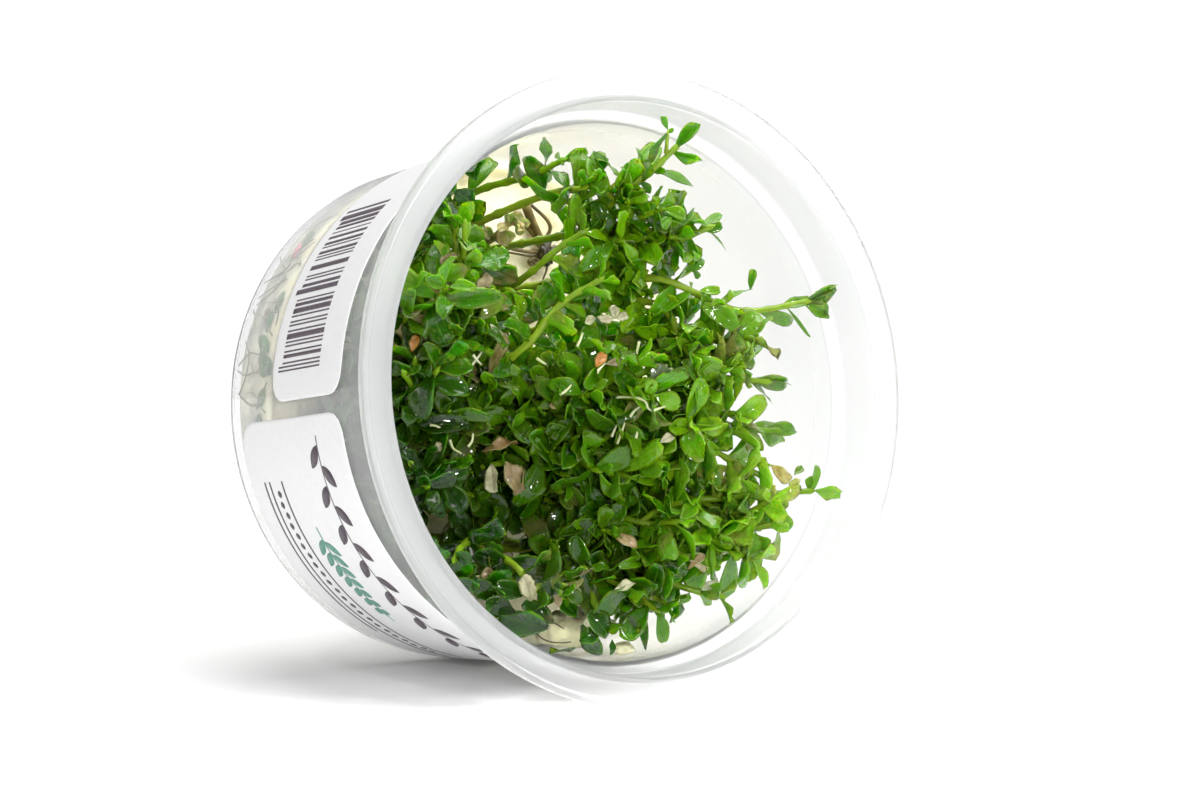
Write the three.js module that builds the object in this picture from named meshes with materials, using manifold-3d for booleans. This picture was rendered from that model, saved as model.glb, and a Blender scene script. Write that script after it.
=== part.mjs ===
// A clear culture cup lying on its side, open at the mouth, with a bushy rotala growing out of the
// pad of nutrient gel at its base. Millimetres, +Z up, the mouth looks towards -Y.
// Inside the cup a place is given as x to the right, y up and depth from the rim plane inwards.

import * as THREE from "three";
import { mergeVertices } from "three/addons/utils/BufferGeometryUtils.js";
import Module from "manifold-3d";

const wasm = await Module();
wasm.setup();

// Cup
const SIDES = 48;
const RIM_RADIUS = 50;
const RIM_THICKNESS = 1.5;
const RIM_ROUND = 0.4;
const MOUTH_RADIUS = 45;
const COLLAR_DEPTH = 8.9;
const THROAT_RADIUS = 42.7;
const BASE_RADIUS = 42.2;
const BASE_ROUND = 2.4;
const CUP_DEPTH = 62.6;
const WALL = 0.8;
const GAP = 0.35;

// Labels on the outside of the wall, angles from the left side of the cup downwards
const LABEL_THICKNESS = 0.3;
const LARGE_LABEL = { from: 0, to: 82, near: 20, far: 57 };
const BAR_LABEL = { from: -79, to: -3, near: 19.5, far: 44.5 };

// Gel
const GEL_TOP = 49;
const GEL_SIDES = 20;
const FOOT_GAP = 0.9;
const GEL_RINGS = [11, 21, 31];

// Stems: square in section, with a node for each pair of leaves
const STEM_RADIUS = 0.62;
const STEM_TIP_RADIUS = 0.42;
const STEM_TIP = 1.3;
const NODE_HALF = 0.4;
const BARE_STEP = 14;
const FIRST_PAIR = 1.2;
const PAIR_SPACING = 3.3;
const SPACING_GROWTH = 0.035;
const STEM_SPACING = 2.3;
const STEM_TRIES = 24;
const STEM_ASIDE = 0.55;
const SPINE_STEPS = 48;

// Leaves: angles from the stem in degrees, places along the leaf as shares of its length
const LEAF_LENGTH = 7.2;
const LEAF_WIDTH = 4.1;
const LEAF_THICKNESS = 0.5;
const LEAF_CURL = 0.16;
const LEAF_SCALES = [1, 0.78, 0.58, 0.42];
const LEAF_ANGLE = { young: 44, step: 13, old: 72, wander: 24 };
const LEAF_YOUTH = { young: 0.5, step: 0.25 };
const LEAF_WANDER = { length: 0.3, width: 0.3, twist: 0.9, curl: 0.3 };
const LEAF_RING = { wide: 0.6, end: 0.97, endShare: 0.55 };
const BLADE_START = {
  own: { at: 0.24, share: 0.3, thick: 0.4 },
  other: { at: 0.04, share: 0.45, thick: 0.8 },
};
const BLADE_SWELL = { thickness: 0.2, width: 0.25, stem: 0.3 };

// Name, foot on the gel (x, y), then bend, reach and tip (x, y, depth), and pairs of leaves
const OUTER_SHOOTS = [
  ["shoot_top_right", [-14, 26], [-2, 33, 18], [6, 33, 9], [13, 39, 4.5], 7],
  ["shoot_top_left", [-12, 31], [-9, 35, 30], [-5, 36, 22], [-2, 38, 15], 5],
  ["shoot_top_centre", [-3, 26], [-1, 26, 20], [5, 27, 12], [13, 28, 7], 6],
  ["shoot_upper_right", [2, 19], [9, 21, 14], [15, 24, 9], [20, 26, 6.5], 5],
  ["shoot_long_right", [4, 13], [10, 18, 11], [23, 12, 6], [36, 13, 3.5], 9],
  ["shoot_bright", [-17, -1], [-14, 8, 12], [-9, 14, 9], [-2, 18, 6.5], 5],
  ["shoot_right_short", [6, 8], [8, 9, 15], [16, 8, 9], [24, 6, 6], 5],
  ["shoot_right_bowed", [0, 10], [13, 14, 11], [16, 3, 7], [28, 0, 5], 7],
  ["shoot_middle_right", [8, -1], [12, -3, 10], [22, -7, 6.5], [29, -8, 4.5], 6],
  ["shoot_dark_stem", [2, -5], [15, -5, 9], [22, -11, 7], [26, -16, 4.5], 5],
  ["shoot_low_right", [7, -13], [14, -18, 9], [25, -18, 6], [34, -18, 3.5], 7],
  ["shoot_lower_drop", [13, -9], [18, -14, 9], [19, -20, 7], [19, -27, 5], 5],
  ["shoot_lower_short", [14, -20], [17, -22, 14], [22, -23, 8], [27, -23, 6], 5],
  ["shoot_bottom_right", [1, -23], [5, -29, 11], [10, -32, 8], [16, -34, 5], 6],
  ["shoot_bottom_inner", [-4, -28], [2, -31, 13], [5, -33, 10], [7, -35, 7.5], 4],
  ["shoot_bottom", [-8, -23], [-5, -27, 13], [-6, -33, 10], [-5, -37, 8], 5],
  ["shoot_bottom_left", [-17, -20], [-18, -26, 14], [-16, -30, 11], [-12, -32, 9], 4],
  ["shoot_left_low", [-19, -27], [-24, -22, 17], [-28, -23, 13], [-31, -25, 10], 4],
  ["shoot_left_side", [-26, -10], [-29, -4, 19], [-33, 1, 14], [-37, 5, 11], 5],
  ["shoot_left_edge", [-24, -17], [-29, -13, 18], [-33, -11, 14], [-37, -9, 11], 5],
  ["shoot_left_upper", [-26, 5], [-28, 11, 18], [-31, 15, 14], [-35, 18, 11], 5],
  ["shoot_upper_left", [-20, 14], [-22, 19, 19], [-23, 23, 14], [-24, 28, 11], 5],
  ["shoot_heart", [-11, 2], [-8, -1, 13], [-1, 1, 8.5], [5, 3, 6], 5],
  ["shoot_heart_low", [-9, -10], [-5, -9, 13], [0, -10, 8.5], [7, -11, 6], 5],
  ["shoot_heart_high", [-7, 14], [-9, 20, 17], [-7, 23, 12], [-3, 26, 8.5], 5],
  ["shoot_front_low", [-3, -16], [1, -20, 12], [6, -22, 8], [12, -24, 6], 5],
].map(([name, foot, bend, reach, tip, pairs]) => ({ name, foot, bend, reach, tip, pairs }));

// Shoots that fill the bush are spread on a spiral, left of the free corner of the mouth
const SPIRAL_COUNT = 38;
const SPIRAL_TURN = 2.39996;
const SPIRAL_RADIUS = 36;
const FREE_CORNER = { x: 0.74, y: 0.67, limit: 15 };
const SPIRAL_CLEARANCE = 6.4;
const FILL_PAIRS = 3;

// Loose lumps of gel
const LUMPS = [
  { name: "gel_lump_lower", at: [-5, -37.2, 21], size: [5.4, 3.6, 4.4] },
  { name: "gel_lump_front", at: [3.5, -40.2, 15.5], size: [3.4, 1.6, 2.6] },
];

const FLAT = Math.cos(Math.PI / SIDES);

const colours = {
  cup: new THREE.MeshStandardMaterial({ color: 0xe9ecec, roughness: 0.3, metalness: 0 }),
  label: new THREE.MeshStandardMaterial({ color: 0xfbfbf9, roughness: 0.55, metalness: 0 }),
  gel: new THREE.MeshStandardMaterial({ color: 0xefe6bf, roughness: 0.35, metalness: 0 }),
  foliage: new THREE.MeshStandardMaterial({ color: 0x2f8a12, roughness: 0.35, metalness: 0 }),
};

function wallRadius(depth) {
  const slope = (BASE_RADIUS - THROAT_RADIUS - WALL) / (CUP_DEPTH - BASE_ROUND - COLLAR_DEPTH);
  return THROAT_RADIUS + WALL + slope * (depth - COLLAR_DEPTH);
}

// Free radius inside the cup, less the gap
function roomRadius(depth) {
  const collar = MOUTH_RADIUS - 0.4 * (depth / COLLAR_DEPTH);
  const inside = depth < COLLAR_DEPTH - 0.8 ? collar : wallRadius(depth) - WALL;
  return inside * FLAT - GAP;
}

// A repeatable number from 0 to 1 for each place it is asked for
function chance(a, b, c) {
  const n = Math.sin(a * 12.9898 + b * 78.233 + c * 37.719) * 43758.5453;
  return n - Math.floor(n);
}

function solidGeometry(vertices, triangles) {
  const geometry = new THREE.BufferGeometry();
  geometry.setAttribute("position", new THREE.Float32BufferAttribute(vertices.flat(), 3));
  geometry.setIndex(triangles.flat());
  geometry.computeVertexNormals();
  return geometry;
}

function cupGeometry() {
  const shoulder = THROAT_RADIUS + WALL;
  const profile = [
    [0, CUP_DEPTH],
    [BASE_RADIUS - BASE_ROUND, CUP_DEPTH],
    [BASE_RADIUS - 0.3 * BASE_ROUND, CUP_DEPTH - 0.3 * BASE_ROUND],
    [BASE_RADIUS, CUP_DEPTH - BASE_ROUND],
    [shoulder, COLLAR_DEPTH + WALL],
    [MOUTH_RADIUS + WALL, COLLAR_DEPTH],
    [MOUTH_RADIUS + WALL, RIM_THICKNESS],
    [RIM_RADIUS, RIM_THICKNESS],
    [RIM_RADIUS, RIM_ROUND],
    [RIM_RADIUS - RIM_ROUND, 0],
    [MOUTH_RADIUS, 0],
    [MOUTH_RADIUS - 0.4, COLLAR_DEPTH - WALL],
    [THROAT_RADIUS, COLLAR_DEPTH],
    [BASE_RADIUS - WALL, CUP_DEPTH - BASE_ROUND - 0.5 * WALL],
    [BASE_RADIUS - BASE_ROUND, CUP_DEPTH - WALL],
    [0, CUP_DEPTH - WALL],
  ];
  const points = profile.map(([radius, depth]) => new THREE.Vector2(radius, -depth));
  const geometry = new THREE.LatheGeometry(points, SIDES, Math.PI / SIDES);
  geometry.rotateX(Math.PI / 2);
  geometry.deleteAttribute("normal");
  geometry.deleteAttribute("uv");
  return mergeVertices(geometry, 1e-4);
}

// A thin plate that follows the flats of the wall between two angles and two depths
function labelGeometry({ from, to, near, far }) {
  const step = 360 / SIDES;
  const angles = [from];
  for (let k = Math.ceil(from / step) - 1; k * step < to + step; k++) {
    const corner = (k + 0.5) * step;
    if (corner > from + 1 && corner < to - 1) angles.push(corner);
  }
  angles.push(to);
  const vertices = [];
  for (const angle of angles) {
    const middle = Math.round(angle / step) * step;
    const stretch = FLAT / Math.cos(THREE.MathUtils.degToRad(angle - middle));
    const turn = THREE.MathUtils.degToRad(angle);
    for (const depth of [near, far]) {
      for (const lift of [GAP, GAP + LABEL_THICKNESS]) {
        const radius = wallRadius(depth) * stretch + lift;
        vertices.push([-radius * Math.cos(turn), -radius * Math.sin(turn), -depth]);
      }
    }
  }
  const triangles = [[0, 2, 3], [0, 3, 1]];
  const sides = [[0, 1], [1, 3], [3, 2], [2, 0]];
  for (let k = 0; k < angles.length - 1; k++) {
    const a = 4 * k;
    const b = a + 4;
    for (const [i, j] of sides) triangles.push([a + i, a + j, b + j], [a + i, b + j, b + i]);
  }
  const last = 4 * (angles.length - 1);
  triangles.push([last, last + 3, last + 2], [last, last + 1, last + 3]);
  return solidGeometry(vertices, triangles);
}

// Depth of the gel's uneven surface
function gelTop(x, y) {
  const swell = 1.1 * Math.sin(0.11 * x + 1.3) * Math.cos(0.1 * y);
  return GEL_TOP + swell + 0.5 * Math.sin(0.17 * x - 0.13 * y);
}

function gelGeometry() {
  const bottomDepth = CUP_DEPTH - WALL - GAP;
  const rings = [
    [BASE_RADIUS - BASE_ROUND - 1, () => bottomDepth],
    [roomRadius(CUP_DEPTH - BASE_ROUND) - 0.2, () => CUP_DEPTH - BASE_ROUND - WALL],
    [roomRadius(GEL_TOP), gelTop],
    ...GEL_RINGS.toReversed().map((radius) => [radius, gelTop]),
  ];
  const vertices = [[0, 0, -bottomDepth]];
  for (const [radius, depthAt] of rings) {
    for (let k = 0; k < GEL_SIDES; k++) {
      const turn = (2 * Math.PI * k) / GEL_SIDES;
      const x = radius * Math.cos(turn);
      const y = radius * Math.sin(turn);
      vertices.push([x, y, -depthAt(x, y)]);
    }
  }
  vertices.push([0, 0, -gelTop(0, 0)]);
  const crown = vertices.length - 1;
  const triangles = [];
  for (let k = 0; k < GEL_SIDES; k++) {
    const next = (k + 1) % GEL_SIDES;
    triangles.push([0, 1 + next, 1 + k]);
    for (let ring = 0; ring < rings.length - 1; ring++) {
      const low = 1 + ring * GEL_SIDES;
      const high = low + GEL_SIDES;
      triangles.push([low + k, low + next, high + next], [low + k, high + next, high + k]);
    }
    const inner = 1 + (rings.length - 1) * GEL_SIDES;
    triangles.push([inner + k, inner + next, crown]);
  }
  return solidGeometry(vertices, triangles);
}

// A broken lump of gel, lying against the wall
function lumpGeometry({ at, size }, seed) {
  let geometry = new THREE.IcosahedronGeometry(1, 1);
  geometry.deleteAttribute("normal");
  geometry.deleteAttribute("uv");
  geometry = mergeVertices(geometry, 1e-4);
  const position = geometry.attributes.position;
  for (let i = 0; i < position.count; i++) {
    const rough = 0.82 + 0.3 * chance(seed, i, 3);
    const x = at[0] + size[0] * rough * position.getX(i);
    const y = at[1] + size[1] * rough * position.getY(i);
    const depth = at[2] - size[2] * rough * position.getZ(i);
    const pull = Math.min(1, roomRadius(depth) / Math.hypot(x, y));
    position.setXYZ(i, x * pull, y * pull, -depth);
  }
  return geometry;
}

// Keeps a place inside the wall and behind the rim
function keepInside(point, margin) {
  const depth = Math.max(-point.z, margin);
  const pull = Math.min(1, (roomRadius(depth) - margin) / Math.hypot(point.x, point.y));
  return new THREE.Vector3(point.x * pull, point.y * pull, -depth);
}

// The stem's middle line as even samples, with the length run up to each of them
function spineOf({ foot, bend, reach, tip }) {
  const base = new THREE.Vector3(foot[0], foot[1], FOOT_GAP - gelTop(foot[0], foot[1]));
  const stations = [bend, reach, tip].map(([x, y, depth]) => new THREE.Vector3(x, y, -depth));
  const curve = new THREE.CatmullRomCurve3([base, ...stations], false, "centripetal");
  const points = curve.getPoints(SPINE_STEPS).map((point) => keepInside(point, 1.2));
  const run = [0];
  for (let i = 1; i < points.length; i++) run.push(run[i - 1] + points[i].distanceTo(points[i - 1]));
  return { points, run, length: run.at(-1) };
}

function pointOnSpine({ points, run }, along) {
  let i = 1;
  while (i < run.length - 1 && run[i] < along) i++;
  return points[i - 1].clone().lerp(points[i], (along - run[i - 1]) / (run[i] - run[i - 1]));
}

function stemsApart(a, b) {
  return Math.min(...a.points.map((p) => Math.min(...b.points.map((q) => p.distanceTo(q)))));
}

// A shoot that would cross an earlier stem bends aside, a little further with each try
function clearSpine(shoot, earlier) {
  let best = null;
  for (let attempt = 0; attempt < STEM_TRIES; attempt++) {
    const aside = STEM_ASIDE * attempt;
    const shiftX = aside * Math.cos(attempt * SPIRAL_TURN);
    const shiftY = aside * Math.sin(attempt * SPIRAL_TURN);
    const moved = (place, share) => [place[0] + share * shiftX, place[1] + share * shiftY, place[2]];
    const spine = spineOf({
      foot: moved(shoot.foot, 0.6),
      bend: moved(shoot.bend, 1),
      reach: moved(shoot.reach, 0.5),
      tip: shoot.tip,
    });
    const apart = Math.min(Infinity, ...earlier.map((other) => stemsApart(spine, other)));
    if (!best || apart > best.apart) best = { spine, apart };
    if (apart > STEM_SPACING) break;
  }
  return best.spine;
}

function fillShoots() {
  const shoots = [];
  for (let k = 0; k < SPIRAL_COUNT; k++) {
    const radius = SPIRAL_RADIUS * Math.sqrt((k + 0.5) / SPIRAL_COUNT);
    const x = radius * Math.cos(k * SPIRAL_TURN);
    const y = radius * Math.sin(k * SPIRAL_TURN);
    if (FREE_CORNER.x * x + FREE_CORNER.y * y > FREE_CORNER.limit) continue;
    if (OUTER_SHOOTS.some(({ tip }) => Math.hypot(x - tip[0], y - tip[1]) < SPIRAL_CLEARANCE)) continue;
    const depth = 12 + 7 * chance(k, 1, 0);
    const leanX = 5 * chance(k, 2, 0) - 1.5;
    const leanY = 6 * chance(k, 3, 0) - 3;
    shoots.push({
      name: `shoot_inner_${String(shoots.length + 1).padStart(2, "0")}`,
      foot: [0.86 * x - leanX, 0.86 * y - leanY],
      bend: [0.92 * x - 0.8 * leanX, 0.92 * y - 0.8 * leanY, depth + 18],
      reach: [x - 0.3 * leanX, y - 0.3 * leanY, depth + 7],
      tip: [x + 0.5 * leanX, y + 0.5 * leanY, depth],
      pairs: FILL_PAIRS,
    });
  }
  return shoots;
}

// Where each pair of leaves leaves the stem, from the foot to the tip, with the frame carried along it
function pairsOf(shoot, spine, seed) {
  const alongs = [];
  for (let k = 0; k < shoot.pairs; k++) {
    const along = spine.length - FIRST_PAIR - PAIR_SPACING * k * (1 + SPACING_GROWTH * k);
    if (along > 3) alongs.push([along, k]);
  }
  alongs.reverse();
  const roll = 2 * Math.PI * chance(seed, 4, 0);
  let side = new THREE.Vector3(Math.cos(roll), Math.sin(roll), 0);
  return alongs.map(([along, age], index) => {
    const at = pointOnSpine(spine, along);
    const tangent = pointOnSpine(spine, along + 0.6).sub(pointOnSpine(spine, along - 0.6)).normalize();
    side = side.addScaledVector(tangent, -side.dot(tangent)).normalize();
    return { at, along, age, index, tangent, side: side.clone(), up: tangent.clone().cross(side) };
  });
}

function ringAt(centre, side, up, radius) {
  const corners = [];
  for (let k = 0; k < 4; k++) {
    const turn = Math.PI / 4 + (k * Math.PI) / 2;
    const corner = centre.clone().addScaledVector(side, radius * Math.cos(turn));
    corners.push(corner.addScaledVector(up, radius * Math.sin(turn)));
  }
  return corners;
}

// Rings of the square stem: some on the bare foot, two at each pair, none after the last pair
function stemRings(spine, pairs, swell) {
  const radiusAt = (along) =>
    swell + THREE.MathUtils.lerp(STEM_RADIUS, STEM_TIP_RADIUS, along / spine.length);
  const first = pairs[0];
  const rings = [];
  const bare = Math.max(2, Math.round(first.along / BARE_STEP));
  for (let k = 0; k < bare; k++) {
    const along = (k / bare) * (first.along - 1);
    const here = pointOnSpine(spine, along);
    const tangent = pointOnSpine(spine, along + 1).sub(here).normalize();
    const side = first.side.clone().addScaledVector(tangent, -first.side.dot(tangent)).normalize();
    rings.push(ringAt(here, side, tangent.clone().cross(side), radiusAt(along)));
  }
  for (const { at, along, tangent, side, up } of pairs) {
    for (const offset of [-NODE_HALF, NODE_HALF]) {
      rings.push(ringAt(at.clone().addScaledVector(tangent, offset), side, up, radiusAt(along)));
    }
  }
  return { rings, bare };
}

// Places along one leaf: left, right, upper and lower corners of its wide part and of its round end
function leafShape(pair, direction, seed, scale) {
  const wander = (n, spread) => spread * (chance(seed, pair.age * 2 + direction, n) - 0.5);
  const quarter = pair.index % 2 === 0 ? pair.side : pair.up;
  const outward = quarter.clone().multiplyScalar(direction === 0 ? 1 : -1);
  const openness = Math.min(LEAF_ANGLE.young + LEAF_ANGLE.step * pair.age, LEAF_ANGLE.old);
  const spreadAngle = THREE.MathUtils.degToRad(openness + wander(11, LEAF_ANGLE.wander));
  const youth = Math.min(1, LEAF_YOUTH.young + LEAF_YOUTH.step * pair.age);
  const length = LEAF_LENGTH * youth * scale * (1 + wander(12, LEAF_WANDER.length));
  const growth = youth * Math.sqrt(scale) * (1 + wander(13, LEAF_WANDER.width));
  const halfWidth = 0.5 * LEAF_WIDTH * growth;
  const across = pair.tangent.clone().cross(outward);
  const along = outward.clone().multiplyScalar(Math.sin(spreadAngle));
  along.addScaledVector(pair.tangent, Math.cos(spreadAngle));
  const face = along.clone().cross(across).applyAxisAngle(along, wander(14, LEAF_WANDER.twist));
  const right = face.clone().cross(along);
  const curl = LEAF_CURL + wander(15, LEAF_WANDER.curl);
  const station = (u) =>
    keepInside(
      pair.at.clone().addScaledVector(along, length * u).addScaledVector(face, -curl * length * u * u),
      0.5,
    );
  return { station, right, face, halfWidth };
}

function leafCorners({ station, right, face, halfWidth }, u, share, thick) {
  const centre = station(u);
  const edge = (sign) => keepInside(centre.clone().addScaledVector(right, sign * share * halfWidth), 0.5);
  return {
    low: centre.clone().addScaledVector(face, -thick),
    right: edge(1),
    top: centre.clone().addScaledVector(face, thick),
    left: edge(-1),
  };
}

function leafEndTriangles(ring, endLeft, endRight) {
  const [low, right, top, left] = ring;
  return [
    [low, right, endRight],
    [right, top, endRight],
    [top, left, endLeft],
    [left, low, endLeft],
    [top, endLeft, endRight],
    [low, endRight, endLeft],
  ];
}

function bandTriangles(from, to) {
  return [0, 1, 2, 3].flatMap((k) => {
    const next = (k + 1) % 4;
    return [
      [from[k], from[next], to[k]],
      [from[next], to[next], to[k]],
    ];
  });
}

function asManifold(vertices, triangles) {
  return new wasm.Manifold(
    new wasm.Mesh({
      numProp: 3,
      vertProperties: new Float32Array(vertices.flatMap((v) => [v.x, v.y, v.z])),
      triVerts: new Uint32Array(triangles.flat()),
    }),
  );
}

function withBox(solid) {
  return { solid, box: solid.boundingBox() };
}

// The blade alone, a little swollen, to see whether it is clear of what grows there already
function bladeSolid(shape, start) {
  const thick = 0.5 * LEAF_THICKNESS + BLADE_SWELL.thickness;
  const swollen = { ...shape, halfWidth: shape.halfWidth + BLADE_SWELL.width };
  const root = leafCorners(swollen, start.at, start.share, start.thick);
  const wide = leafCorners(swollen, LEAF_RING.wide, 1, thick);
  const end = leafCorners(swollen, LEAF_RING.end + 0.04, LEAF_RING.endShare, thick);
  const vertices = [root.low, root.right, root.top, root.left, wide.low, wide.right, wide.top, wide.left];
  vertices.push(end.left, end.right);
  const triangles = [[0, 2, 1], [0, 3, 2]];
  for (const [mid, side, back] of [[0, 1, false], [2, 1, true], [2, 3, false], [0, 3, true]]) {
    const pair = [[mid, side, 4 + side], [mid, 4 + side, 4 + mid]];
    triangles.push(...(back ? pair.map((corners) => corners.toReversed()) : pair));
  }
  triangles.push(...leafEndTriangles([4, 5, 6, 7], 8, 9));
  return withBox(asManifold(vertices, triangles));
}

function tubeSolid(rings) {
  const vertices = rings.flat();
  const triangles = [[0, 2, 1], [0, 3, 2]];
  for (let r = 0; r < rings.length - 1; r++) {
    for (let k = 0; k < 4; k++) {
      const next = (k + 1) % 4;
      const low = 4 * r;
      triangles.push([low + k, low + next, low + 4 + next], [low + k, low + 4 + next, low + 4 + k]);
    }
  }
  const last = 4 * (rings.length - 1);
  triangles.push([last, last + 1, last + 2], [last, last + 2, last + 3]);
  return withBox(asManifold(vertices, triangles));
}

function boxesMeet(a, b) {
  return [0, 1, 2].every((axis) => a.min[axis] < b.max[axis] && b.min[axis] < a.max[axis]);
}

function isClear(blade, obstacles) {
  return obstacles.every(
    (other) => !boxesMeet(blade.box, other.box) || blade.solid.intersect(other.solid).volume() < 1e-6,
  );
}

// The stem and its leaves as one closed skin: a leaf opens out of a flat of the stem at its node
function shootGeometry(shoot, spine, pairs, seed, obstacles, blades) {
  const { rings, bare } = stemRings(spine, pairs, 0);
  const vertices = rings.flat();
  const triangles = [[0, 2, 1], [0, 3, 2]];
  const add = (point) => vertices.push(point) - 1;
  for (let r = 0; r < rings.length - 1; r++) {
    const isNode = r >= bare && (r - bare) % 2 === 0;
    const pair = isNode ? pairs[(r - bare) / 2] : null;
    for (let k = 0; k < 4; k++) {
      const next = (k + 1) % 4;
      const flat = [4 * r + k, 4 * r + next, 4 * r + 4 + next, 4 * r + 4 + k];
      const facing = (k + 1) % 4;
      const direction = pair && facing % 2 === pair.index % 2 ? Math.floor(facing / 2) : -1;
      const shape = direction < 0 ? null : freeLeaf(pair, direction, seed, obstacles, blades);
      if (!shape) {
        triangles.push([flat[0], flat[1], flat[2]], [flat[0], flat[2], flat[3]]);
        continue;
      }
      const wide = leafCorners(shape, LEAF_RING.wide, 1, 0.5 * LEAF_THICKNESS);
      const end = leafCorners(shape, LEAF_RING.end, LEAF_RING.endShare, 0);
      const ring = [wide.low, wide.right, wide.top, wide.left].map(add);
      triangles.push(...bandTriangles(flat, ring));
      triangles.push(...leafEndTriangles(ring, add(end.left), add(end.right)));
    }
  }
  const last = 4 * (rings.length - 1);
  const apex = add(keepInside(pairs.at(-1).at.clone().addScaledVector(pairs.at(-1).tangent, STEM_TIP), GAP));
  for (let k = 0; k < 4; k++) triangles.push([last + k, last + ((k + 1) % 4), apex]);
  return solidGeometry(vertices.map((v) => [v.x, v.y, v.z]), triangles);
}

// The largest leaf that fits here, or none
function freeLeaf(pair, direction, seed, obstacles, blades) {
  for (const scale of LEAF_SCALES) {
    const shape = leafShape(pair, direction, seed, scale);
    const whole = bladeSolid(shape, BLADE_START.other);
    const blade = bladeSolid(shape, BLADE_START.own);
    if (isClear(whole, obstacles) && isClear(blade, blades)) {
      blades.push(blade);
      return shape;
    }
  }
  return null;
}

function asObstacle(geometry) {
  const position = geometry.attributes.position;
  const vertices = [];
  for (let i = 0; i < position.count; i++) {
    vertices.push(new THREE.Vector3().fromBufferAttribute(position, i));
  }
  return withBox(asManifold(vertices, [Array.from(geometry.index.array)]));
}

const cup = new THREE.Group();
function place(name, geometry, material) {
  const mesh = new THREE.Mesh(geometry, material);
  mesh.name = name;
  cup.add(mesh);
  return mesh;
}

place("cup", cupGeometry(), colours.cup);
place("label_large", labelGeometry(LARGE_LABEL), colours.label);
place("label_bars", labelGeometry(BAR_LABEL), colours.label);
const gel = place("gel_pad", gelGeometry(), colours.gel);
const lumps = LUMPS.map((lump, k) => place(lump.name, lumpGeometry(lump, k + 1), colours.gel));

const shoots = [...OUTER_SHOOTS, ...fillShoots()];
const spines = [];
for (const shoot of shoots) spines.push(clearSpine(shoot, spines));
const pairLists = shoots.map((shoot, k) => pairsOf(shoot, spines[k], k + 1));
const stems = spines.map((spine, k) => {
  const { rings } = stemRings(spine, pairLists[k], BLADE_SWELL.stem);
  const { at, tangent, side, up } = pairLists[k].at(-1);
  return tubeSolid([...rings, ringAt(at.clone().addScaledVector(tangent, STEM_TIP), side, up, 0.3)]);
});
const fixed = [gel, ...lumps].map((mesh) => asObstacle(mesh.geometry));
const grown = [];
shoots.forEach((shoot, k) => {
  const obstacles = [...fixed, ...stems.filter((stem) => stem !== stems[k]), ...grown];
  const geometry = shootGeometry(shoot, spines[k], pairLists[k], k + 1, obstacles, []);
  place(shoot.name, geometry, colours.foliage);
  grown.push(asObstacle(geometry));
});

// The cup rests on its rim and on the edge of its base, so its mouth looks a little upwards
const restRise = Math.atan2(RIM_RADIUS - BASE_RADIUS, CUP_DEPTH - BASE_ROUND - RIM_THICKNESS);
cup.rotation.x = Math.PI / 2 - restRise;

const plantCup = new THREE.Group();
plantCup.add(cup);
plantCup.updateMatrixWorld(true);
const box = new THREE.Box3().setFromObject(plantCup, true);
cup.position.set(-0.5 * (box.min.x + box.max.x), -0.5 * (box.min.y + box.max.y), -box.min.z);

export default plantCup;
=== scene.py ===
# %% [markdown]
# # A rotala in its culture cup
# A bushy young water plant stands in a pad of jelly in a clear plastic cup. The cup lies on its side
# with its mouth open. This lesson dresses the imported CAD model: the cup, its two stickers, the jelly
# and one piece for every shoot, all worked out as numpy surfaces in the frame of the CAD model.

# %% Load the frame
import math
import bpy
import numpy as np
from mathutils import Matrix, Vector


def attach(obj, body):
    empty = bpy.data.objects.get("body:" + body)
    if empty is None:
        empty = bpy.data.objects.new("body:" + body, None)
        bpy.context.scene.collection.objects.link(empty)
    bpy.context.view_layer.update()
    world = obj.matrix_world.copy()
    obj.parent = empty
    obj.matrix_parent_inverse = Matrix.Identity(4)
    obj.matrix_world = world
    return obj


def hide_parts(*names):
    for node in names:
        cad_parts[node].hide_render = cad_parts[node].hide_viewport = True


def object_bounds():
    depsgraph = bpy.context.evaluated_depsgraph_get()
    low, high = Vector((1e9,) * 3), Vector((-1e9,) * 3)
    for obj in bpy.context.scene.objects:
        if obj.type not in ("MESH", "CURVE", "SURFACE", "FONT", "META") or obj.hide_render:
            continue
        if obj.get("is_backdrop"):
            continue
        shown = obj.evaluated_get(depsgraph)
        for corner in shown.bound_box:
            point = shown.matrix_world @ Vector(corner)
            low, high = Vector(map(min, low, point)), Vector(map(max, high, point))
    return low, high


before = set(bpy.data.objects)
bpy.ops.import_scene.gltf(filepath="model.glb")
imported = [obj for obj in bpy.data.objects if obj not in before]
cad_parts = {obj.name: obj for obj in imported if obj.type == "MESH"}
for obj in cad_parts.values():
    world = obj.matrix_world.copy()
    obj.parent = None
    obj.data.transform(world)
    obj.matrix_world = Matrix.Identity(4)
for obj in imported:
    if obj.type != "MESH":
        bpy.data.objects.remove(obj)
cad_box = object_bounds()
print("CAD nodes:", len(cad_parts), "box:", cad_box)

# %% [markdown]
# ## The cup's own coordinates
# The cup rests on the edge of its rim and the edge of its base, so its mouth looks a little upwards.
# It is easier to shape things in the cup's own coordinates, in millimetres: x to the right, y up and
# depth from the plane of the rim inwards. One function turns such places into metres in the frame.

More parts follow.
